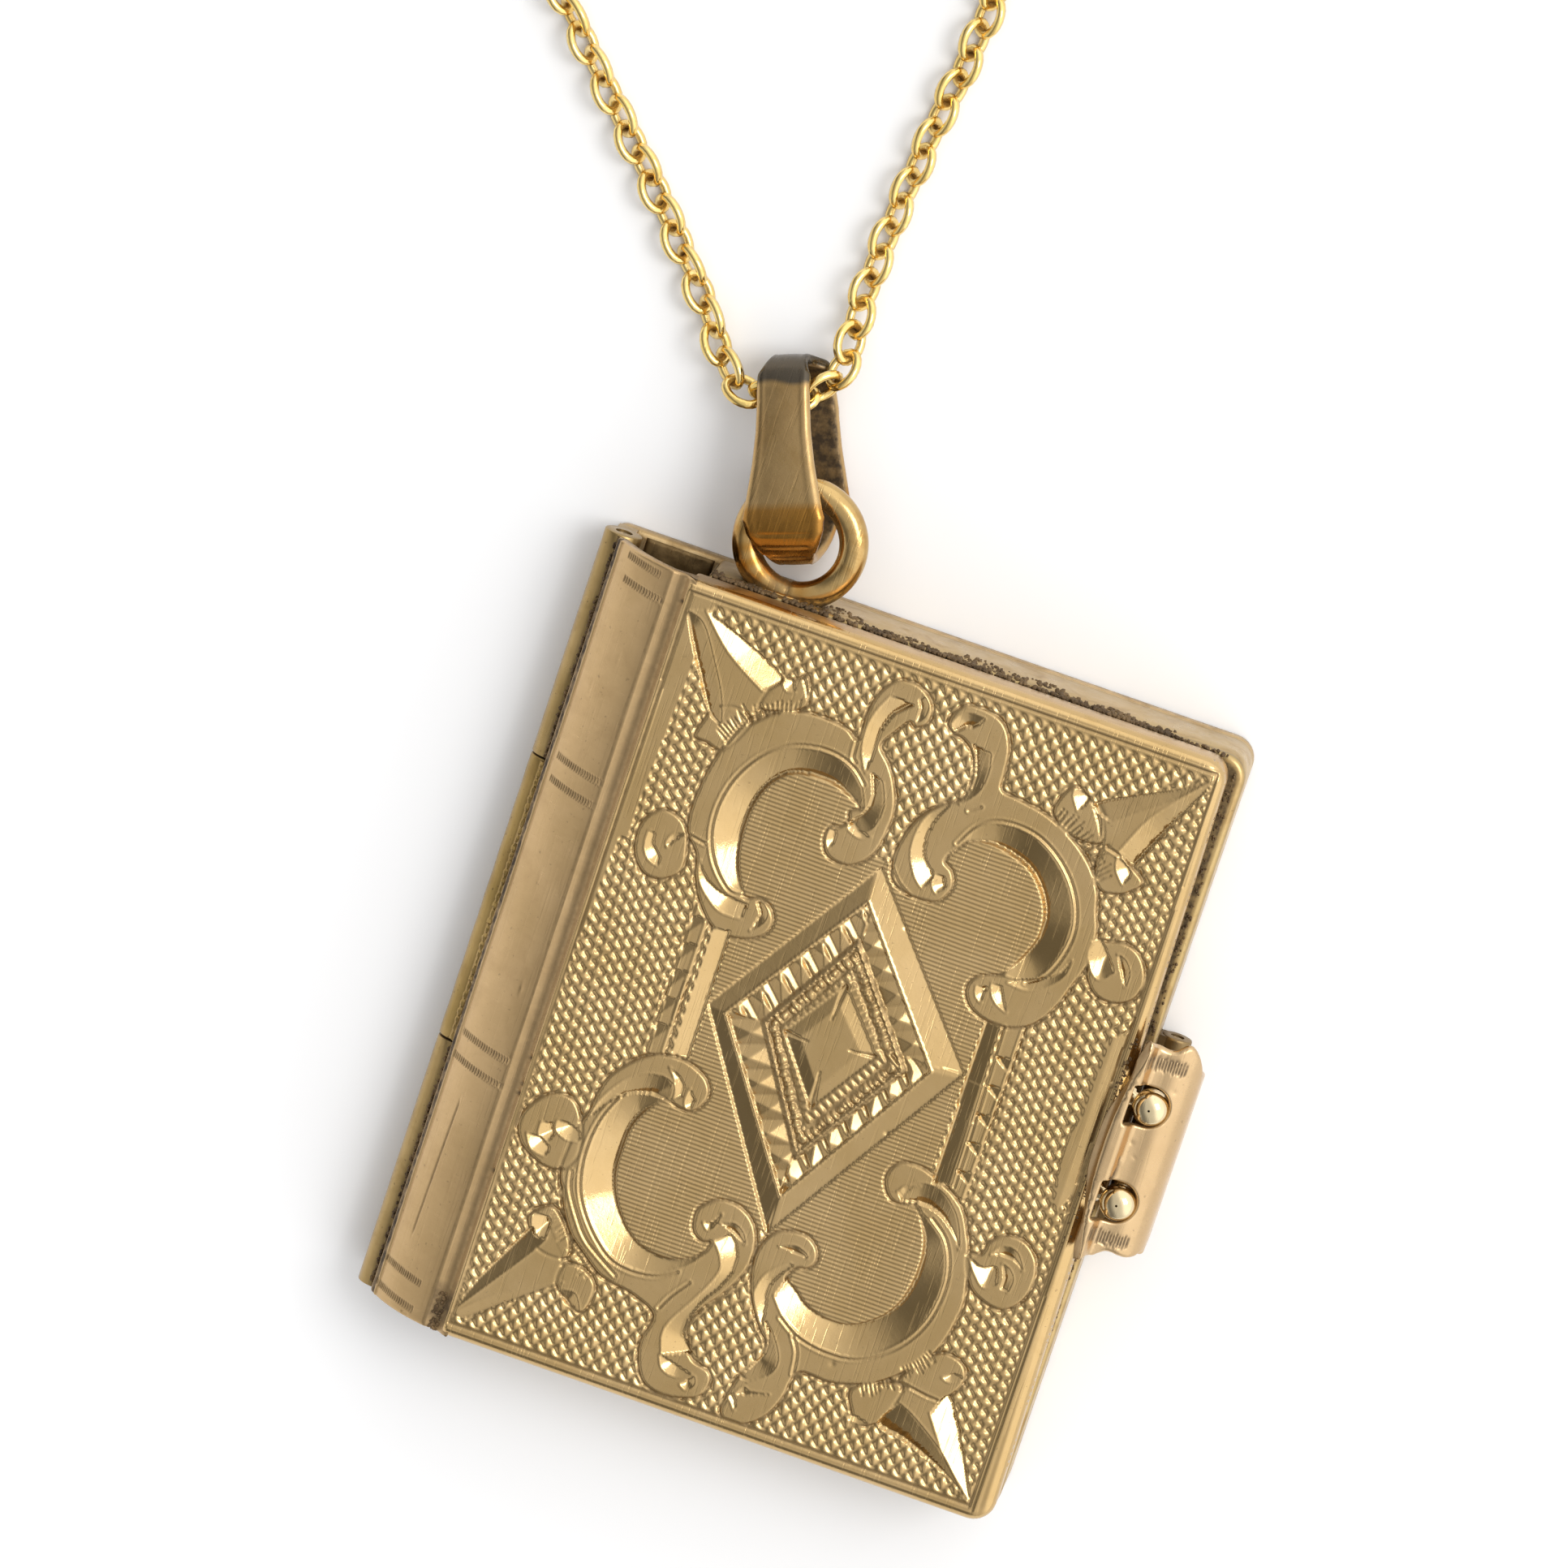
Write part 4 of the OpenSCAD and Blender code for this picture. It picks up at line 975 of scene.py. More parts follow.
# solder seam between middle knuckle and spine: a row of small beads
parts = []
for k in range(34):
    y = -4.2 + 9.3 * k / 33
    a = np.linspace(0, 2 * math.pi, 8, endpoint=False)
    r = 0.10 + 0.05 * random.random()
    rings = []
    for q in np.linspace(0.05, math.pi - 0.05, 6):
        rings.append(np.column_stack([HX - 0.08 + r * np.sin(q) * np.cos(a), np.full(8, y + 0.16 * math.cos(q)), 2.42 + 0.5 * r * np.sin(q) * np.sin(a) + 0.08 * random.random()]))
    parts.append((np.concatenate(rings), grid_faces(6, 8, close_m=True)))
parts.append((np.concatenate([np.column_stack([[-12.12, -11.4, -11.35, -11.7], np.full(4, y), [2.15, 2.15, 2.7, 2.86]]) for y in (-4.35, 5.22)]),
              np.array([[0, 1, 2, 3], [4, 7, 6, 5], [0, 4, 5, 1], [1, 5, 6, 2], [2, 6, 7, 3], [3, 7, 4, 0]])))
seam = recalc(join("solder_seam", parts, M_KNUCKLE, False))

pin = recalc(join("pin_of_spine", [tube_part(HX, HZ, 0.25, -12.95, 12.95, e=0.05, n=24)], M_PIN))
hpin = recalc(join("pin_of_hasp", [tube_part(9.9, 0.75, 0.2, -3.15, 3.15, e=0.04, n=24)], M_PIN))


# ------------------------------------------------------------------- case
def tube_open(x, z, r, ri, y0, y1, e=0.05, n=40):
    """Knuckle with a bore."""
    pr = [(y0, ri), (y0, r - e), (y0 + e * 0.3, r - e * 0.3), (y0 + e, r)]
    pr += [(y0 + e + (y1 - y0 - 2 * e) * k / 12, r) for k in range(1, 12)]
    pr += [(y1 - e, r), (y1 - e * 0.3, r - e * 0.3), (y1, r - e), (y1, ri)]
    V = np.concatenate(lathe_y(x, z, pr, n))
    return V, grid_faces(len(pr), n, close_m=True, close_n=True)


def block(x0, x1, y0, y1, z0, z1):
    V = np.array([(x, y, z) for z in (z0, z1) for x, y in ((x0, y0), (x1, y0), (x1, y1), (x0, y1))], float)
    return V, np.array([[3, 2, 1, 0], [4, 5, 6, 7], [0, 1, 5, 4], [1, 2, 6, 5], [2, 3, 7, 6], [3, 0, 4, 7]])


base = loft("back_board", board_loops(-12.23, HALF_W, HALF_W, 0.4, 0.75, [
    (0.25, 0.0), (0.1, 0.03), (0.03, 0.1), (0.0, 0.2), (0.0, 0.52), (0.03, 0.62), (0.1, 0.68), (0.2, 0.7)]), M_BACK)
recalc(base)
fr_loops = board_loops(-8.7, HALF_W, HALF_W, 0.2, 0.75, [
    (0.03, 0.6), (0.0, 0.66), (0.0, 0.75), (0.012, 0.8), (0.0, 0.86), (0.0, 2.2), (0.0, 3.02), (0.015, 3.06), (0.0, 3.1), (0.0, 3.2), (0.03, 3.29), (0.1, 3.34),
    (0.18, 3.35), (0.27, 3.35), (0.78, 3.35), (0.86, 3.33), (0.9, 3.27), (0.9, 3.06), (0.94, 3.01), (1.05, 3.0), (1.68, 3.0),
    (1.76, 2.98), (1.8, 2.92), (1.8, 1.85), (1.84, 1.78), (1.95, 1.75), (3.0, 1.74)])
for i, lp in enumerate(fr_loops):
    z = lp[:, 2]
    # hand finished walls: slightly wavy
    lp[:, 0] += 0.012 * np.sin(lp[:, 1] * 1.1 + i * 0.2)
    lp[:, 1] += 0.010 * np.sin(lp[:, 0] * 1.3)
fd = np.concatenate([np.full(len(lp), {8: 0.45, 9: 0.3, 13: 0.9, 14: 0.7, 15: 0.3}.get(k, 0.12 if k > 15 else 0.0)) for k, lp in enumerate(fr_loops)])
case = recalc(loft("case_frame", fr_loops, M_CASE, attrs={"dirt_and_shade": fd}))

parts = []
for y0, y1 in ((5.33, 13.0), (-13.0, -4.46)):
    parts.append(tube_open(HX, HZ, 0.615, 0.28, y0, y1))
    parts.append(block(HX - 0.3, HX + 0.34, y0 + 0.02, y1 - 0.02, 0.6, 1.32))
knk = recalc(join("knuckles_of_case", parts, M_OLIVE))
sharp(knk, 40)
parts = []
for y0, y1 in ((2.55, 3.2), (-3.2, -2.55)):
    parts.append(tube_open(9.9, 0.75, 0.5, 0.23, y0, y1, n=32))
    parts.append(block(9.1, 9.75, y0 + 0.03, y1 - 0.03, 0.34, 1.14))
lug = recalc(join("lugs_of_hasp", parts, M_LUG_SHADE))
sharp(lug, 40)

# jump ring: bent wire with its seam, soldered to the head wall
RC, RR, RW = np.array([-6.38, 14.72, 2.5]), 1.715, 0.462
loops = []
NR = 110
for k in range(NR):
    a = 2 * math.pi * k / NR
    seam_a = abs((a - math.radians(274) + math.pi) % (2 * math.pi) - math.pi)
    w = RW * (1 - 0.10 * math.exp(-(seam_a / 0.03) ** 2)) * (1 + 0.012 * math.sin(3 * a + 1))
    d = np.array([math.cos(a), math.sin(a), 0.0])
    b = np.linspace(0, 2 * math.pi, 28, endpoint=False)
    fl = 1 - 0.10 * np.clip(np.sin(b), 0, 1) ** 4     # worn flat on top
    loops.append(RC + d * RR + (np.cos(b) * w)[:, None] * d + (np.sin(b) * w * fl)[:, None] * np.array([0, 0, 1.0]))
Vr = np.concatenate(loops)
ra = np.degrees(np.arctan2(Vr[:, 1] - RC[1], Vr[:, 0] - RC[0])) % 360
# painted amber reflection round the left side of the ring; below it, darker at the seam and at the foot by the wall
ring_amber_reflection = np.exp(-((ra - 215) / 48) ** 2) * (0.55 + 0.25 * np.sin(ra * 0.35)) + 0.5 * np.exp(-((ra - 290) / 14) ** 2)
rd = 0.85 * np.exp(-((ra - 274) / 2.2) ** 2) + 0.6 * np.exp(-((ra - 262) / 16) ** 2)
ringo = recalc(to_mesh("jump_ring", Vr, grid_faces(NR, 28, close_m=True, close_n=True), M_RING, True,
                       {"amber_reflection": np.clip(ring_amber_reflection, 0, 1), "dirt_and_shade": np.clip(rd, 0, 0.9)}))
# fillet of solder at the wall
loops = []
for sx, z0 in ((1.0, 0.0), (0.92, 0.06), (0.7, 0.12), (0.35, 0.15)):
    a = np.linspace(0, 2 * math.pi, 24, endpoint=False)
    loops.append(np.column_stack([-6.38 + 1.15 * sx * np.cos(a), np.full(24, 12.97 + z0), 2.5 + 0.52 * sx * np.sin(a)]))
sold = recalc(loft("solder_fillet", loops, M_RING))

# -------------------------------------------------------------- ball studs
SX, SZ, SB = 9.92, 4.87, 0.58


def stud(name, y):
    n = 44
    a = np.linspace(0, 2 * math.pi, n, endpoint=False)
    v = np.array([SX - 8.55, SZ - 4.0])
    L_ = np.hypot(*v)
    v /= L_
    # dome over a thin collar
    pr = [(0.03, -0.55), (0.2, -0.53), (0.36, -0.45), (0.48, -0.32), (0.55, -0.2), (0.577, -0.14), (0.58, -0.10),
          (0.575, -0.06), (0.555, -0.045), (0.545, -0.03), (0.545, 0.0)]
    pr += [(0.595 * (1 - t_ ** 2.5) ** (1 / 2.5), 0.57 * t_) for t_ in np.sin(np.linspace(0.05, math.pi / 2 - 0.03, 24))]
    loops = [np.column_stack([SX + r * np.cos(a), y + r * np.sin(a), np.full(n, SZ + h_)]) for r, h_ in pr]
    V1, F1 = np.concatenate(loops), grid_faces(len(pr), n, close_m=True)
    lo = []
    for t_, r in ((0.02, 0.2), (0.62, 0.2), (0.66, 0.3), (0.74, 0.33), (0.82, 0.3), (0.88, 0.22), (1.3, 0.2)):
        c = np.array([8.55, 4.0]) + v * t_
        lo.append(np.column_stack([c[0] - v[1] * r * np.sin(a), y + r * np.cos(a), c[1] + v[0] * r * np.sin(a)]))
    V2, F2 = np.concatenate(lo), grid_faces(7, n, close_m=True)
    return recalc(join(name, [(V1, F1), (V2, F2)], M_STUD))


stud_u = stud("ball_stud_upper", 1.74)
stud_l = stud("ball_stud_lower", -1.52)

# ------------------------------------------------------------------- hasp
BX, BZ, BR, HT = 8.92, 2.6, 2.25, 0.35
FR, FA = 1.2, math.radians(83)
FX, FZ = BX + BR - FR, 4.05
# section of the outer face: x, z, normal, from the left end round the fold to the hinge
sec_p = []
def ease(t):
    u = min(max(t, 0.0), 1.0)
    return u * u * (3 - 2 * u)


def lift(d):
    return 0.44 * (ease((d - 0.46) / 0.36) - 0.3 * ease((d - 1.1) / 0.35))


for k in range(80):
    d = 2.0 * (1 - k / 80)
    l_, g_ = FR + lift(d), (lift(d + 0.01) - lift(d - 0.01)) / 0.02
    q = math.hypot(1, g_)
    ca, sa = math.cos(FA), math.sin(FA)
    sec_p.append((FX + l_ * ca - d * sa, FZ + l_ * sa + d * ca, (ca + g_ * sa) / q, (sa - g_ * ca) / q))
for k in range(60):
    q = FA * (1 - k / 60)
    sec_p.append((FX + FR * math.cos(q), FZ + FR * math.sin(q), math.cos(q), math.sin(q)))
for k in range(40):
    sec_p.append((BX + BR, FZ + (BZ - FZ) * k / 40, 1.0, 0.0))
for k in range(61):
    q = math.radians(-61) * k / 60
    sec_p.append((BX + BR * math.cos(q), BZ + BR * math.sin(q), math.cos(q), math.sin(q)))
sec_p = np.array(sec_p)
sec_s = np.concatenate([[0], np.cumsum(np.hypot(*(sec_p[1:, :2] - sec_p[:-1, :2]).T))])
s_fold, s_side = sec_s[80], sec_s[140]
i_top = int(np.argmax(sec_p[:, 0]))


def s_of_x(x):
    return float(np.interp(x, sec_p[:i_top + 1, 0], sec_s[:i_top + 1]))


def s_low(deg):
    return sec_s[-1] - BR * math.radians(61 - deg)


HEAD = [(9.31, 3.98), (9.6, 3.84), (9.9, 3.77), (10.15, 3.8), (10.35, 3.94), (10.52, 4.06), (10.72, 4.04), (10.94, 3.8), (11.12, 3.38)]
FOOT = [(11.12, -2.97), (11.0, -3.1), (10.78, -3.16), (10.5, -3.14), (10.27, -3.1), (10.05, -3.12), (9.85, -3.26), (9.65, -3.4), (9.4, -3.54)]
LEFT = [(9.2, -3.58), (9.08, -3.07), (8.93, -2.3), (8.79, -1.4), (8.71, -0.6), (8.68, 0.2), (8.7, 1), (8.77, 1.8), (8.92, 2.6), (9.08, 3.2), (9.22, 3.85)]
side_s = [(s_side, 3.02), (0.5 * (s_side + s_low(0)), 2.95), (s_low(0), 2.85), (s_low(25), 2.66), (s_low(45), 2.5), (s_low(61), 2.48)]
out = [tuple(p) for p in spline([(s_of_x(x), y) for x, y in HEAD] + side_s, 6)]
out += [tuple(p) for p in spline([(s_, -y - (0.1 if k < 3 else 0)) for k, (s_, y) in list(enumerate(side_s))[::-1]] + [(s_of_x(x), y) for x, y in FOOT], 6)]
left_line = spline([(s_of_x(x), y) for x, y in LEFT], 6)
out += [tuple(p) for p in left_line]


def even(P, step):
    P = np.array(P)
    res_ = []
    for i in range(len(P)):
        a, b = P[i], P[(i + 1) % len(P)]
        l_ = np.hypot(*(b - a))
        if l_ < 1e-6:
            continue
        n = max(1, int(round(l_ / step)))
        res_ += [a + (b - a) * k / n for k in range(n)]
    return np.array(res_)


loops2 = [even(out, 0.055)]
for yc in (1.80, -1.46):
    q = [(s_of_x(9.28), yc + 0.58), (s_of_x(9.28), yc - 0.58), (s_of_x(9.30), yc - 0.64), (s_of_x(9.36), yc - 0.66)]
    for k in range(0, 29):
        a = math.radians(-90 + 180 * k / 28)
        q.append((s_of_x(9.885 + 0.66 * math.cos(a)), yc + 0.66 * math.sin(a)))
    q += [(s_of_x(9.36), yc + 0.66), (s_of_x(9.30), yc + 0.64)]
    loops2.append(even(q, 0.05))


def in_plate(px, py):
    m = inside(px, py, loops2[0])
    for h_ in loops2[1:]:
        m &= ~inside(px, py, h_)
    return m


def edge_dist(px, py):
    ds = [seg_dist(px, py, np.vstack([l_, l_[:1]]))[0] for l_ in loops2]
    return ds[0], np.minimum(ds[1], ds[2])


pts = list(loops2)
for li, l_ in enumerate(loops2):
    area_ = 0.5 * np.sum(l_[:, 0] * np.roll(l_[:, 1], -1) - np.roll(l_[:, 0], -1) * l_[:, 1])
    tang = np.roll(l_, -1, 0) - np.roll(l_, 1, 0)
    tang /= np.maximum(np.hypot(*tang.T), 1e-9)[:, None]
    nin = np.column_stack([-tang[:, 1], tang[:, 0]]) * (1 if area_ > 0 else -1) * (1 if li == 0 else -1)
    for d in ((0.012, 0.035, 0.07, 0.115, 0.16, 0.20, 0.24, 0.28, 0.32) if li == 0 else (0.012, 0.03, 0.06, 0.11)):
        Q = l_ + nin * d
        d0, d1 = edge_dist(Q[:, 0], Q[:, 1])
        Q = Q[(np.minimum(d0, d1) > 0.85 * d) & in_plate(Q[:, 0], Q[:, 1])]
        pts.append(Q)
gx, gy = np.meshgrid(np.arange(out[0][0] * 0 + 0.3, sec_s[-1], 0.075), np.arange(-3.9, 4.15, 0.05))
gx, gy = gx.ravel(), gy.ravel()
TICKS = ((3.22, 1), (-2.60, -1))


def tick_y(px, yc, sg):
    return yc + (0.07 if sg > 0 else -0.1) * np.sin((px - 9.3) * 1.9)


ok = in_plate(gx, gy)
gx, gy = gx[ok], gy[ok]
d0, d1 = edge_dist(gx, gy)
px_g = np.interp(gx, sec_s, sec_p[:, 0])
clear_ = (d0 > 0.35) & (d1 > 0.14)
for yc, sg in TICKS:
    clear_ &= ~((np.abs(gy - tick_y(px_g, yc, sg)) < 0.36) & (px_g > 9.36) & (px_g < 10.98) & (gx < s_fold + 0.9))
pts.append(np.column_stack([gx, gy])[clear_])
for yc, sg in TICKS:
    tx = 9.4 + 0.0235 * np.arange(0, 67)
    tX, tD = np.meshgrid(tx, np.linspace(-0.32, 0.32, 9))
    tX, tD = tX.ravel(), tD.ravel()
    Q = np.column_stack([np.interp(tX, sec_p[:i_top + 1, 0], sec_s[:i_top + 1]), tick_y(tX, yc, sg) + tD])
    q0, q1 = edge_dist(Q[:, 0], Q[:, 1])
    pts.append(Q[(q0 > 0.33) & (q1 > 0.13) & in_plate(Q[:, 0], Q[:, 1])])
allp = np.concatenate(pts)
ed, o_ = [], 0
for l_ in loops2:
    m = len(l_)
    ed += [(o_ + i, o_ + (i + 1) % m) for i in range(m)]
    o_ += m
nd = len(loops2[0])
res = delaunay_2d_cdt([Vector(p) for p in allp], ed, [list(range(nd))], 1, 1e-7)
P2 = np.array([tuple(v) for v in res[0]])
F2 = np.array([tuple(f) for f in res[2]])
cen2 = P2[F2].mean(1)
F2 = F2[in_plate(cen2[:, 0], cen2[:, 1])]
d0, d1 = edge_dist(P2[:, 0], P2[:, 1])
dq = np.minimum(d0, d1)
dL, _ = seg_dist(P2[:, 0], P2[:, 1], left_line)
wl = np.clip(1 - (dL - dq) / 0.25, 0, 1) * (d0 <= d1 + 0.2)
mid_f = np.where(d1 < d0, 0.5, 0.5 + 0.36 * wl)
la = np.where(d1 < d0, 0.06, 0.14 + 0.18 * wl)
ta = np.clip(dq / la, 0, 1)
deep_o = mid_f * HT * np.where(d1 < d0, 1 - np.sqrt(1 - (1 - ta) ** 2), wl * (1 - ta) ** 1.4 + (1 - wl) * (1 - np.sqrt(1 - (1 - ta) ** 2)))
tb = np.clip(dq / np.maximum((1 - mid_f) * HT, 0.04), 0, 1)
deep_i = (1 - mid_f) * HT * (1 - np.sqrt(1 - (1 - tb) ** 2))
sS, yY = P2[:, 0], P2[:, 1]
px_s = np.interp(sS, sec_s, sec_p[:, 0])
# hollow between the raised left edge and the fold
h = 0.03 * np.exp(-((dL - 0.24) / 0.035) ** 2) * (np.abs(yY) < 3.6)
top_ = sS < s_fold + 0.6
h -= 0.05 * np.exp(-((px_s - 10.0) / 0.45) ** 2) * top_
h += 0.03 * np.exp(-((px_s - 10.85) / 0.12) ** 2) * top_
ink = np.zeros(len(P2))
# ticks at head and foot, and short ones along the fold
for yc, sg in TICKS:
    u_ = (px_s - 9.4) / 0.094
    tk = np.abs(u_ - np.round(u_))
    ln_ = 0.30 - 0.07 * np.sin(2.1 * np.round(u_)) ** 2
    dy_ = np.abs(yY - tick_y(px_s, yc, sg))
    m = (dy_ < ln_) & (px_s > 9.42) & (px_s < 10.96) & top_
    ink = np.maximum(ink, 0.85 * np.where(m, np.clip((0.40 - tk) / 0.18, 0, 1) * np.clip((ln_ - dy_) / 0.08, 0, 1), 0))
xf = 11.07 + 0.02 * np.sin(yY)
u_ = yY / 0.15 + 2.0 * (px_s - 11.0)
tf = np.abs(u_ - np.round(u_))
m = (np.abs(px_s - xf) < 0.06) & (yY > -2.3) & (yY < 2.75) & top_
ink = np.maximum(ink, np.where(m, np.clip((0.36 - tf) / 0.12, 0, 1), 0))
h -= 0.03 * ink
for cx, cy, r, dp in ((9.7, 0.55, 0.07, 0.02), (9.95, 0.1, 0.05, 0.015), (10.5, 2.5, 0.08, 0.02), (10.7, -0.6, 0.1, 0.02)):
    h -= dp * np.exp(-((px_s - cx) ** 2 + (yY - cy) ** 2) / r ** 2)
dcr, acr = seg_dist(px_s, yY, np.array([(9.55, -0.72), (9.6, -0.3), (9.55, 0.08)]))
crk = np.clip(1 - dcr / (0.07 * (1.2 - acr)), 0, 1) * top_
h -= 0.05 * crk
ink = np.maximum(ink, crk)
nx_, nz_ = np.interp(sS, sec_s, sec_p[:, 2]), np.interp(sS, sec_s, sec_p[:, 3])
ln = np.hypot(nx_, nz_)
nx_, nz_ = nx_ / ln, nz_ / ln
zz_s = np.interp(sS, sec_s, sec_p[:, 1])
do_, di_ = deep_o - h, HT - deep_i
on_edge = dq < 1e-6
do_ = np.where(on_edge, mid_f * HT, do_)
di_ = np.where(on_edge, mid_f * HT, di_)
Vo = np.column_stack([px_s - nx_ * do_, yY, zz_s - nz_ * do_])
Vi = np.column_stack([px_s - nx_ * di_, yY, zz_s - nz_ * di_])
nv = len(P2)
F = [tuple(f) for f in F2] + [tuple(int(i) + nv for i in f[::-1]) for f in F2]
import bmesh
hasp = to_mesh("hasp_plate", np.concatenate([Vo, Vi]), [tuple(int(i) for i in f) for f in F], M_HASP, True,
               {"dirt_and_shade": np.concatenate([0.95 * ink + 0.35 * np.clip(1 - dq / 0.05, 0, 1) * (d1 < d0)
                                        + 0.22 * np.clip((0.2 - dL) / 0.06, 0, 1), np.full(nv, 0.55)]),
                "pol": np.concatenate([np.exp(-((dL - 0.25) / 0.05) ** 2), np.zeros(nv)])})
bm = bmesh.new(); bm.from_mesh(hasp.data)
bmesh.ops.remove_doubles(bm, verts=bm.verts, dist=1e-7)
bmesh.ops.recalc_face_normals(bm, faces=bm.faces)
bm.to_mesh(hasp.data); bm.free()
hk = recalc(join("hasp_knuckle", [tube_open(9.9, 0.75, 0.5, 0.23, -2.5, 2.5, n=36)], M_HASP))

# ------------------------------------------------------------------- bail
STRAP = [(-5.5, 0.55), (-5.42, 0.64), (-5.25, 0.74), (-5, 0.84), (-4.7, 0.92), (-4.4, 1.0), (-4.15, 1.14), (-3.75, 1.34),
         (-3, 1.2), (-2, 1.02), (-1, 0.9), (0, 0.86), (0.8, 0.86), (1.1, 0.7), (1.25, 0.6)]
c1, r1, c2, r2 = np.array([0, 1.42]), 1.2, np.array([-3.74, 1.9]), 1.7
e = (c2 - c1) / np.hypot(*(c2 - c1))
f_, g_ = math.atan2(e[1], e[0]), math.acos((r1 - r2) / np.hypot(*(c2 - c1)))
path = []
for i in range(49):
    a = f_ + g_ + (2 * math.pi - 2 * g_) * i / 48
    path.append((c1, r1, a))
for i in range(100):
    a = f_ - g_ + 2 * g_ * i / 99
    path.append((c2, r2, a))
# straight legs get points too
segs = []
for i in range(len(path)):
    cA, rA, aA = path[i]
    cB, rB, aB = path[(i + 1) % len(path)]
    A_, B_ = cA + rA * np.array([math.cos(aA), math.sin(aA)]), cB + rB * np.array([math.cos(aB), math.sin(aB)])
    n = max(1, int(np.hypot(*(B_ - A_)) / 0.07))
    for k in range(n):
        t_ = k / n
        segs.append((A_ + (B_ - A_) * t_, aA if rA == rB else (aA if t_ < 0.5 else aB)))
TB = 0.4
loops, dts, amber_reflections, dark_top_reflections = [], [], [], []
turn, roll = math.radians(22), math.radians(8)
for (p, a) in segs:
    nrm = np.array([math.cos(a), math.sin(a)])
    w = np.interp(p[0], [q[0] for q in STRAP], [q[1] for q in STRAP])
    if p[1] > 3.1 and p[0] < -3.6:
        w = max(w, np.interp(p[0], (-5.0, -4.6, -4.2, -3.6), (0.9, 1.1, 1.26, 1.34)))
    ring, dt, amber_refl_, dark_top_refl_ = [], [], [], []
    prof_b = []
    back = np.clip((1.2 - p[1]) / 0.6, 0, 1)
    wr = w + 0.32 * back * np.interp(p[0], (-4.2, -2.5, -0.8, 0.9, 1.2), (0, 0.5, 1, 0.8, 0))
    # creases across the foot
    crease = sum(np.exp(-((p[0] - y_) / 0.035) ** 2) for y_ in (-4.2, -4.66, -5.06)) * (p[1] > 2.2)
    n_t = 16
    for k in range(n_t + 1):        # outer face, slightly crowned
        x = -1 + 2 * k / n_t
        ww = wr if x > 0 else w
        lip = 0.02 * math.exp(-((abs(x) - 0.86) / 0.06) ** 2)
        prof_b.append((x * (ww - 0.07), -0.03 * x * x + lip - (0.015 if abs(x) == 1 else 0) - 0.035 * crease * (abs(x) < 0.7)))
    prof_b += [(wr - 0.015, -0.12), (wr, -0.2), (wr - 0.015, -0.30), (wr - 0.07, -0.385)]
    for k in range(n_t + 1):
        x = 1 - 2 * k / n_t
        ww = wr if x > 0 else w
        pit_ = 0.05 * max(0.0, math.sin(7.1 * x + 3.3 * p[0]) * math.sin(5.3 * p[0] - 4.1 * x) - 0.35) * back
        prof_b.append((x * (ww - 0.1), -TB - pit_))
    prof_b += [(-w + 0.07, -0.385), (-w + 0.015, -0.30), (-w, -0.2), (-w + 0.015, -0.12)]
    for x, o_ in prof_b:
        q = p + nrm * o_
        X3 = x * math.cos(roll) - (q[1] - 1.9) * math.sin(roll)
        Z3 = x * math.sin(roll) + (q[1] - 1.9) * math.cos(roll) + 1.9
        X4 = X3 * math.cos(turn) - q[0] * math.sin(turn)
        Y4 = X3 * math.sin(turn) + q[0] * math.cos(turn)
        ring.append((-8.26 + X4, 18.97 + Y4, Z3))
        inner_side = o_ < -0.33
        dt.append((0.55 + 0.4 * back) if inner_side else 0.25 * crease)
        # painted reflections on the outer face: amber across the foot, dark on the top
        amber_refl_.append(0.0 if inner_side else 0.85 * float(np.interp(p[0], (-5.3, -4.9, -4.3, -3.4, -3.15), (0.15, 0.7, 1.0, 0.9, 0))))
        dark_top_refl_.append(0.0 if inner_side else float(np.clip((p[0] + 0.06 * math.sin(4 * x) - 0.42) / 0.14, 0, 1)))
    loops.append(np.array(ring))
    dts.append(np.array(dt))
    amber_reflections.append(amber_refl_)
    dark_top_reflections.append(dark_top_refl_)
mm_ = len(loops[0])
bail = recalc(to_mesh("bail_strap", np.concatenate(loops), grid_faces(len(loops), mm_, close_m=True, close_n=True), M_BAIL, True,
                      {"dirt_and_shade": np.concatenate(dts), "amber_reflection": np.concatenate(amber_reflections), "dark_top_reflection": np.concatenate(dark_top_reflections)}))

# ------------------------------------------------------------------ chain
CHAIN = [
    (4.85, 182.5, 1.2), (6.2, 182.4, 0.8), (22, 178, 0.49), (34.5, 170.5, 0.49),
    (44.5, 160.5, 0.49), (51, 148, 0.49), (53.6, 134, 0.49),
    (52.4, 120, 0.49), (48.3, 107, 0.49), (40.5, 89.5, 0.49),
    (31.5, 70, 0.49), (22.5, 50, 0.49), (14.5, 31, 0.49),
    (6.4, 12.1, 0.49), (4.7, 8.5, 0.49), (3.3, 5.4, 0.5),
    (2.3, 2.8, 0.72), (1.85, 1.1, 1.15), (1.15, 0.1, 1.46),
    (0.3, -0.15, 1.46), (-0.6, -0.15, 1.4), (-1.5, 0.05, 1.26),
    (-2.1, 0.8, 0.95), (-2.5, 1.9, 0.65), (-3, 3.2, 0.5),
    (-4.1, 5.8, 0.49), (-5.4, 8.6, 0.49), (-7.1, 12.3, 0.49),
    (-15.5, 31, 0.49), (-25, 51, 0.49), (-34, 71, 0.49),
    (-42.5, 90, 0.49), (-49.3, 107, 0.49), (-53.2, 120, 0.49),
    (-54, 134, 0.49), (-51, 148, 0.49), (-44, 160.5, 0.49),
    (-34, 170.5, 0.49), (-21.5, 178, 0.49), (-6.2, 182.4, 0.8), (-4.85, 182.5, 1.2)]
R0 = spline(np.array(CHAIN), 60)
seg = np.linalg.norm(R0[1:] - R0[:-1], axis=1)
cum = np.concatenate([[0], np.cumsum(seg)])
total = cum[-1]
PITCH = 0.87
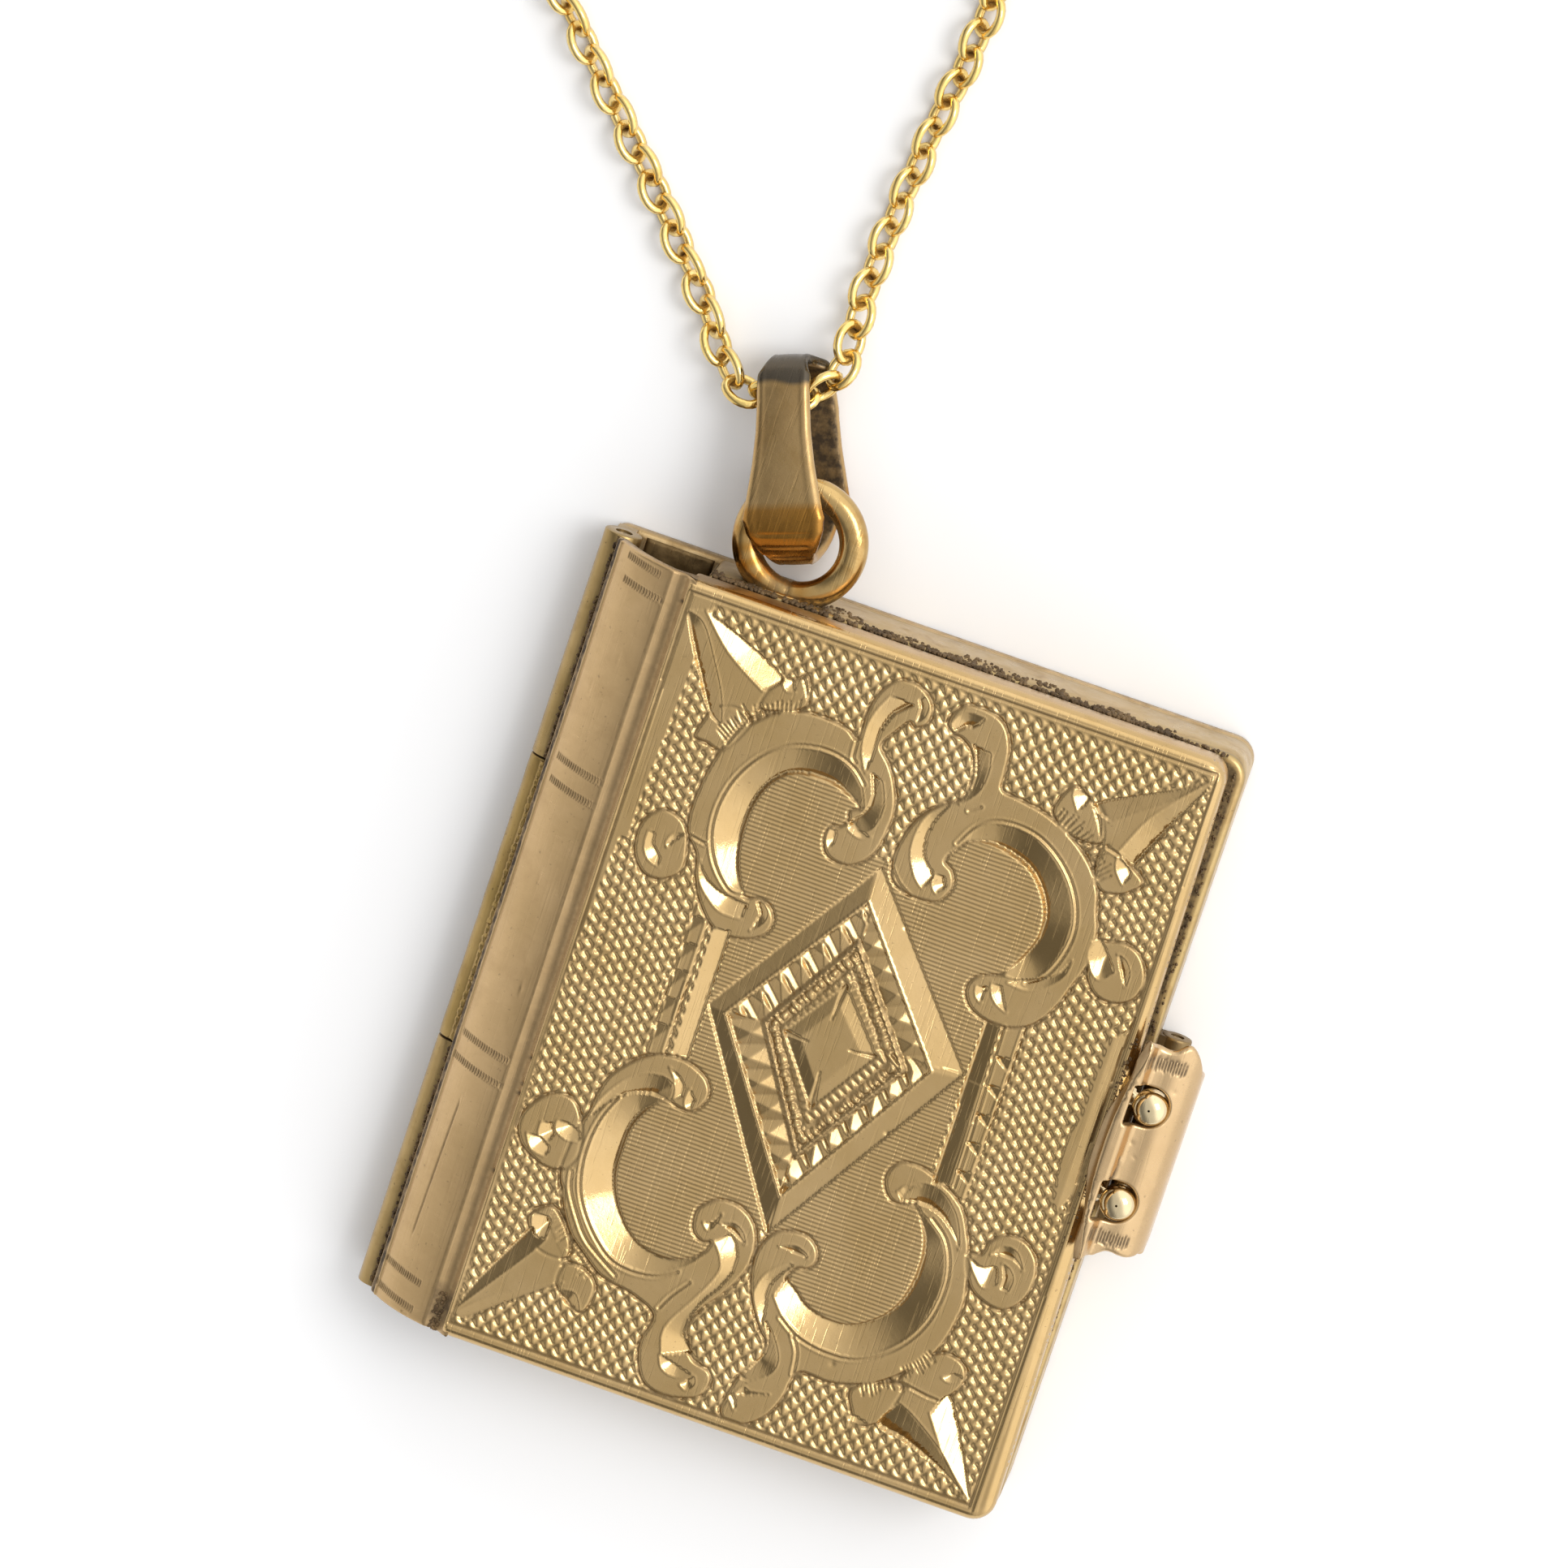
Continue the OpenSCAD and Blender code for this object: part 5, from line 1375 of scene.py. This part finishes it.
nl = int(total / PITCH)
PITCH = total / nl
ct, st_ = math.cos(math.radians(18.8)), math.sin(math.radians(18.8))


def place(P):
    P = np.asarray(P, float)
    return np.column_stack([-8.3 + P[:, 0] * ct - P[:, 1] * st_, 19 + P[:, 0] * st_ + P[:, 1] * ct, P[:, 2]])


NU, NV_ = 20, 7
u = np.linspace(0, 2 * math.pi, NU, endpoint=False)
v = np.linspace(0, 2 * math.pi, NV_, endpoint=False)
A_L, B_L, W_L = 0.62, 0.425, 0.15
cx = A_L * np.cos(u)
cy = B_L * np.sin(u)
tx, ty = -A_L * np.sin(u), B_L * np.cos(u)
tn = np.hypot(tx, ty)
nxv, nyv = ty / tn, -tx / tn
link = np.stack([cx[:, None] + W_L * np.cos(v) * nxv[:, None], cy[:, None] + W_L * np.cos(v) * nyv[:, None],
                 np.broadcast_to(W_L * np.sin(v), (NU, NV_))], -1).reshape(-1, 3)
LF = grid_faces(NU, NV_, close_m=True, close_n=True)
parts = []
rl = np.random.default_rng(5)
for k in range(nl):
    s = (k + 0.5) * PITCH
    c = np.array([np.interp(s, cum, R0[:, i]) for i in range(3)])
    t0 = np.array([np.interp(max(s - 0.4, 0), cum, R0[:, i]) for i in range(3)])
    t1 = np.array([np.interp(min(s + 0.4, total), cum, R0[:, i]) for i in range(3)])
    T = (t1 - t0) / np.linalg.norm(t1 - t0)
    T = T + rl.normal(0, 0.035, 3) * (1, 1, 0.4)
    T /= np.linalg.norm(T)
    N_ = np.cross(T, (0, 0, 1.0)); N_ /= np.linalg.norm(N_)
    B_ = np.cross(N_, T)
    a = math.radians((45 if k % 2 else -45) + rl.normal(0, 5))
    Wd = math.cos(a) * N_ + math.sin(a) * B_
    Nn = np.cross(T, Wd)
    c = c + (0.08 if k % 2 else -0.08) * N_ * (1, 1, 0)
    Vk = c + link[:, :1] * T + link[:, 1:2] * Wd + link[:, 2:3] * Nn
    low_ = Vk[:, 2].min()
    if c[2] < 0.52:
        Vk[:, 2] -= low_ - 0.004
    parts.append((place(Vk), LF))
links = join("chain_links", parts, M_CHAIN)

# clasp: closed barrel with two knurled caps
n = 44
a = np.linspace(0, 2 * math.pi, n, endpoint=False)
loops = []
for x, r in ((-4.5, 0.1), (-4.5, 0.42), (-4.42, 0.5), (-3.95, 0.75), (-3.6, 0.98), (-3.2, 1.12), (-2.9, 1.17), (-2.6, 1.2), (-2.5, 1.2), (-2.42, 1.12), (-2.34, 1.2), (-2.2, 1.2),
             (-0.2, 1.2), (-0.08, 1.17), (0.0, 1.1), (0.08, 1.17), (0.2, 1.2), (2.2, 1.2), (2.34, 1.2), (2.42, 1.12), (2.5, 1.2), (2.6, 1.2), (2.9, 1.17), (3.2, 1.12), (3.6, 0.98), (3.95, 0.75),
             (4.42, 0.5), (4.5, 0.42), (4.5, 0.1)):
    kn = 0.02 * np.abs(np.sin(11 * a)) if 2.55 < abs(x) < 3.3 else 0
    loops.append(place(np.column_stack([np.full(n, x), 182.5 + (r - kn) * np.cos(a), 1.2 + (r - kn) * np.sin(a)])))
clasp = recalc(loft("barrel_clasp", loops, M_CHAIN))

# ------------------------------------------------- dirt crust in the gaps, and dark linings with painted shade
def lump(c, r, flat=1.0):
    n1, n2 = 4, 6
    a = np.linspace(0, 2 * math.pi, n2, endpoint=False)
    rg = []
    for q in np.linspace(0.12, math.pi - 0.12, n1):
        rr = r * (0.75 + 0.5 * rng.random(n2))
        rg.append(np.column_stack([c[0] + rr * np.sin(q) * np.cos(a), c[1] + rr * np.sin(q) * np.sin(a), c[2] + flat * rr * np.cos(q)]))
    ends = np.array([[5, 4, 3, 2], [5, 2, 1, 0], [18, 19, 20, 21], [18, 21, 22, 23]])
    return np.concatenate(rg), np.concatenate([grid_faces(n1, n2, close_m=True), ends])


parts = []
for k in range(330):
    y_ = (5.35 + 7.6 * rng.random()) if k % 2 else (-12.9 + 8.4 * rng.random())
    r_ = 0.03 + 0.04 * rng.random()
    parts.append(lump((-11.98 + 0.3 * rng.random(), y_, 2.30 + r_ + 0.05 * rng.random()), r_))
for k in range(860):
    x = -8.6 + 15.4 * rng.random() ** 1.15
    r_ = 0.04 + 0.075 * rng.random()
    low_ = (0.62 + 0.38 * math.sin(1.9 * x + 0.6) * math.sin(0.83 * x + 1.9)) * (1.0 if x < 3 else 1.0 - 0.12 * (x - 3))
    parts.append(lump((x, 12.97 + 0.03 * rng.random(), 3.5 - 1.5 * rng.random() ** 1.25 * low_), r_ * 0.88))
for sg, y0, y1 in ((0, 5.38, 12.94), (1, -12.94, -4.5)):
    for k in range(260):
        r_ = 0.04 + 0.05 * rng.random()
        parts.append(lump((-11.95 + 0.26 * rng.random(), y0 + (y1 - y0) * rng.random(), 2.30 + 0.1 * rng.random()), r_))
for k in range(300):
    x = -4.1 + 12.7 * rng.random() ** 0.9
    parts.append(lump((x, 12.94 + 0.08 * rng.random(), 3.42 + 0.12 * rng.random()), 0.03 + 0.06 * rng.random()))
for k in range(260):
    y = -12.5 + 25 * rng.random()
    parts.append(lump((min(cover_right(y) + 0.02 + 0.2 * rng.random(), 9.2), y, 3.36 + 0.05 * rng.random()), 0.02 + 0.035 * rng.random()))
for k in range(90):
    y = -12.6 + 25.2 * rng.random()
    parts.append(lump((-10.9 + 1.5 * rng.random(), y, 0.72), 0.03 + 0.06 * rng.random(), 0.6))
crust = recalc(join("dirt_crust", parts, M_DIRT))
parts = []
for k in range(170):
    y = -3.5 + 7.2 * rng.random()
    parts.append(lump((8.66 + 0.22 * rng.random(), y, 4.97 + 0.03 * rng.random()), 0.025 + 0.035 * rng.random(), 0.8))
for k in range(110):
    y = -12.96 + 1.3 * rng.random() ** 1.7
    parts.append(lump((-9.62 + 0.5 * rng.random(), y, 4.60 + 0.04 * rng.random()), 0.025 + 0.045 * rng.random(), 0.7))
crust_c = recalc(join("dirt_by_hasp", parts, M_DIRT))


def lining(name, P, nrm, y0, y1, mat, step=0.12, th=0.035, amp=0.05):
    """Dark lining on a wall that runs along y: old grime, and painted shade in the hollow; P its line in x and z, nrm
    the way it faces.
    """
    ys_ = np.arange(y0, y1, step)
    loops = []
    for y in ys_:
        k = np.clip(min(y - y0, y1 - y) / 0.3, 0, 1)
        up = [(x + nrm[0] * (th + amp * k * rng.random()), z + nrm[1] * (th + amp * k * rng.random())) for x, z in P[1:-1]]
        lp = [P[0]] + up + [P[-1]]
        loops.append(np.array([(x, y, z) for x, z in lp]))
    return recalc(loft(name, loops, mat))


# dark linings in the hollow under the spine: grime, and painted shade there
M_SHADE_GRIME = gold("old_polish_and_painted_shade", (0.14, 0.085, 0.03), (0.26, 0.17, 0.07), (0.03, 0.02, 0.01), rough=(0.35, 0.6), scale=1200.0,
               tarnish=0.6, metal=0.75, scratch=1.0, tcol=(0.06, 0.035, 0.012))
floor_l = lining("painted_shade_and_grime_on_back_board", [(-11.15 + 0.12 * k, 0.705) for k in range(20)], (0, 1), -12.95, 12.95, M_SHADE_GRIME)
wall_l = lining("painted_shade_and_grime_on_frame_wall", [(-8.705, 0.8 + 0.12 * k) for k in range(21)], (-1, 0), -12.95, 12.95, M_SHADE_GRIME)

# ------------------------------------------------------------ ride, replace
for ob in front + [board, spine, mid, seam, crust_c]:
    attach(ob, "cover")
for ob in front + [board, spine, mid, seam, crust_c]:
    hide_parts("front_cover")
for ob, nd_ in ((stud_u, "stud_upper"), (stud_l, "stud_lower")):
    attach(ob, "cover")
    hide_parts(nd_)
for ob in (hasp, hk):
    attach(ob, "hasp")
    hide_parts("hasp")
for ob in (base, case, knk, lug, ringo, sold, crust, floor_l, wall_l):
    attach(ob, "case")
    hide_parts("back_case")
for ob, nd_ in ((pin, "hinge_pin"), (hpin, "hasp_pin"), (bail, "bail"), (links, "chain"), (clasp, "chain_clasp")):
    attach(ob, "case")
    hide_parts(nd_)

# ----------------------------------------------------------- stage, camera
sc = bpy.context.scene
M_FLOOR = bpy.data.materials.new("paper")
nt = nodes_of(M_FLOOR)
o_ = nt.nodes.new("ShaderNodeOutputMaterial")
b_ = nt.nodes.new("ShaderNodeBsdfPrincipled")
b_.inputs["Base Color"].default_value = (0.97, 0.97, 0.975, 1)
b_.inputs["Roughness"].default_value = 0.9
b_.inputs["Specular IOR Level"].default_value = 0.1
nt.links.new(b_.outputs[0], o_.inputs[0])
floor = to_mesh("floor", [(-3000, -3000, 0), (3000, -3000, 0), (3000, 3000, 0), (-3000, 3000, 0)], [(0, 1, 2, 3)], M_FLOOR, False)

cam = bpy.data.cameras.new("camera")
cam.sensor_fit = "HORIZONTAL"
cam.sensor_width = 36
cam.lens = 323.57
cam.clip_start = 0.01
cam.clip_end = 20
co = bpy.data.objects.new("camera", cam)
r_, u_, d_ = Vector((0.9426, 0.3087, -0.1276)), Vector((-0.3292, 0.9233, -0.1978)), Vector((-0.0567, -0.2285, -0.9719))
M = Matrix.Identity(4)
for i in range(3):
    M[i][0], M[i][1], M[i][2] = r_[i], u_[i], -d_[i]
M[0][3], M[1][3], M[2][3] = 0.02085, 0.10909, 0.43615
co.matrix_world = M
sc.collection.objects.link(co)
sc.camera = co


def area(name, loc, target, size, power, color=(1, 1, 1), size_y=None):
    l = bpy.data.lights.new(name, "AREA")
    l.shape = "RECTANGLE"
    l.size = size
    l.size_y = size_y or size
    l.energy = power
    l.color = color
    ob = bpy.data.objects.new(name, l)
    ob.location = loc
    ob.rotation_euler = (Vector(target) - Vector(loc)).to_track_quat("-Z", "Y").to_euler()
    sc.collection.objects.link(ob)
    return ob


area("key", (0.40, 0.24, 0.62), (0, 0, 0), 0.34, 1.9)
# soft tent: bright on the right, dark flag on the left
w_ = bpy.data.worlds.new("studio")
w_.use_nodes = True
wt = w_.node_tree
bg = wt.nodes["Background"]
tcw = wt.nodes.new("ShaderNodeTexCoord")
dot = wt.nodes.new("ShaderNodeVectorMath")
dot.operation = "DOT_PRODUCT"
dot.inputs[1].default_value = (0.86, 0.51, 0.0)
wt.links.new(tcw.outputs["Generated"], dot.inputs[0])
rp = wt.nodes.new("ShaderNodeValToRGB")
mr = wt.nodes.new("ShaderNodeMapRange")
mr.inputs["From Min"].default_value = -1.0
mr.inputs["From Max"].default_value = 1.0
wt.links.new(dot.outputs["Value"], mr.inputs["Value"])
wt.links.new(mr.outputs["Result"], rp.inputs["Fac"])
el = rp.color_ramp.elements
el[0].position, el[1].position = 0.0, 1.0
stops = [(0.0, 0.33), (0.09, 0.30), (0.135, 0.20), (0.165, 0.09), (0.235, 0.08), (0.31, 0.14), (0.385, 0.27), (0.47, 0.285), (0.56, 0.35), (0.63, 0.50), (0.70, 0.60), (0.85, 0.60), (1.0, 0.55)]
el[0].color = (stops[0][1],) * 3 + (1,)
el[1].color = (stops[-1][1],) * 3 + (1,)
for ps, vl in stops[1:-1]:
    ne = el.new(ps)
    ne.color = (vl, vl, vl, 1)
wt.links.new(rp.outputs["Color"], bg.inputs[0])
bg.inputs[1].default_value = 2.5
sc.world = w_
sc.view_settings.view_transform = "Standard"
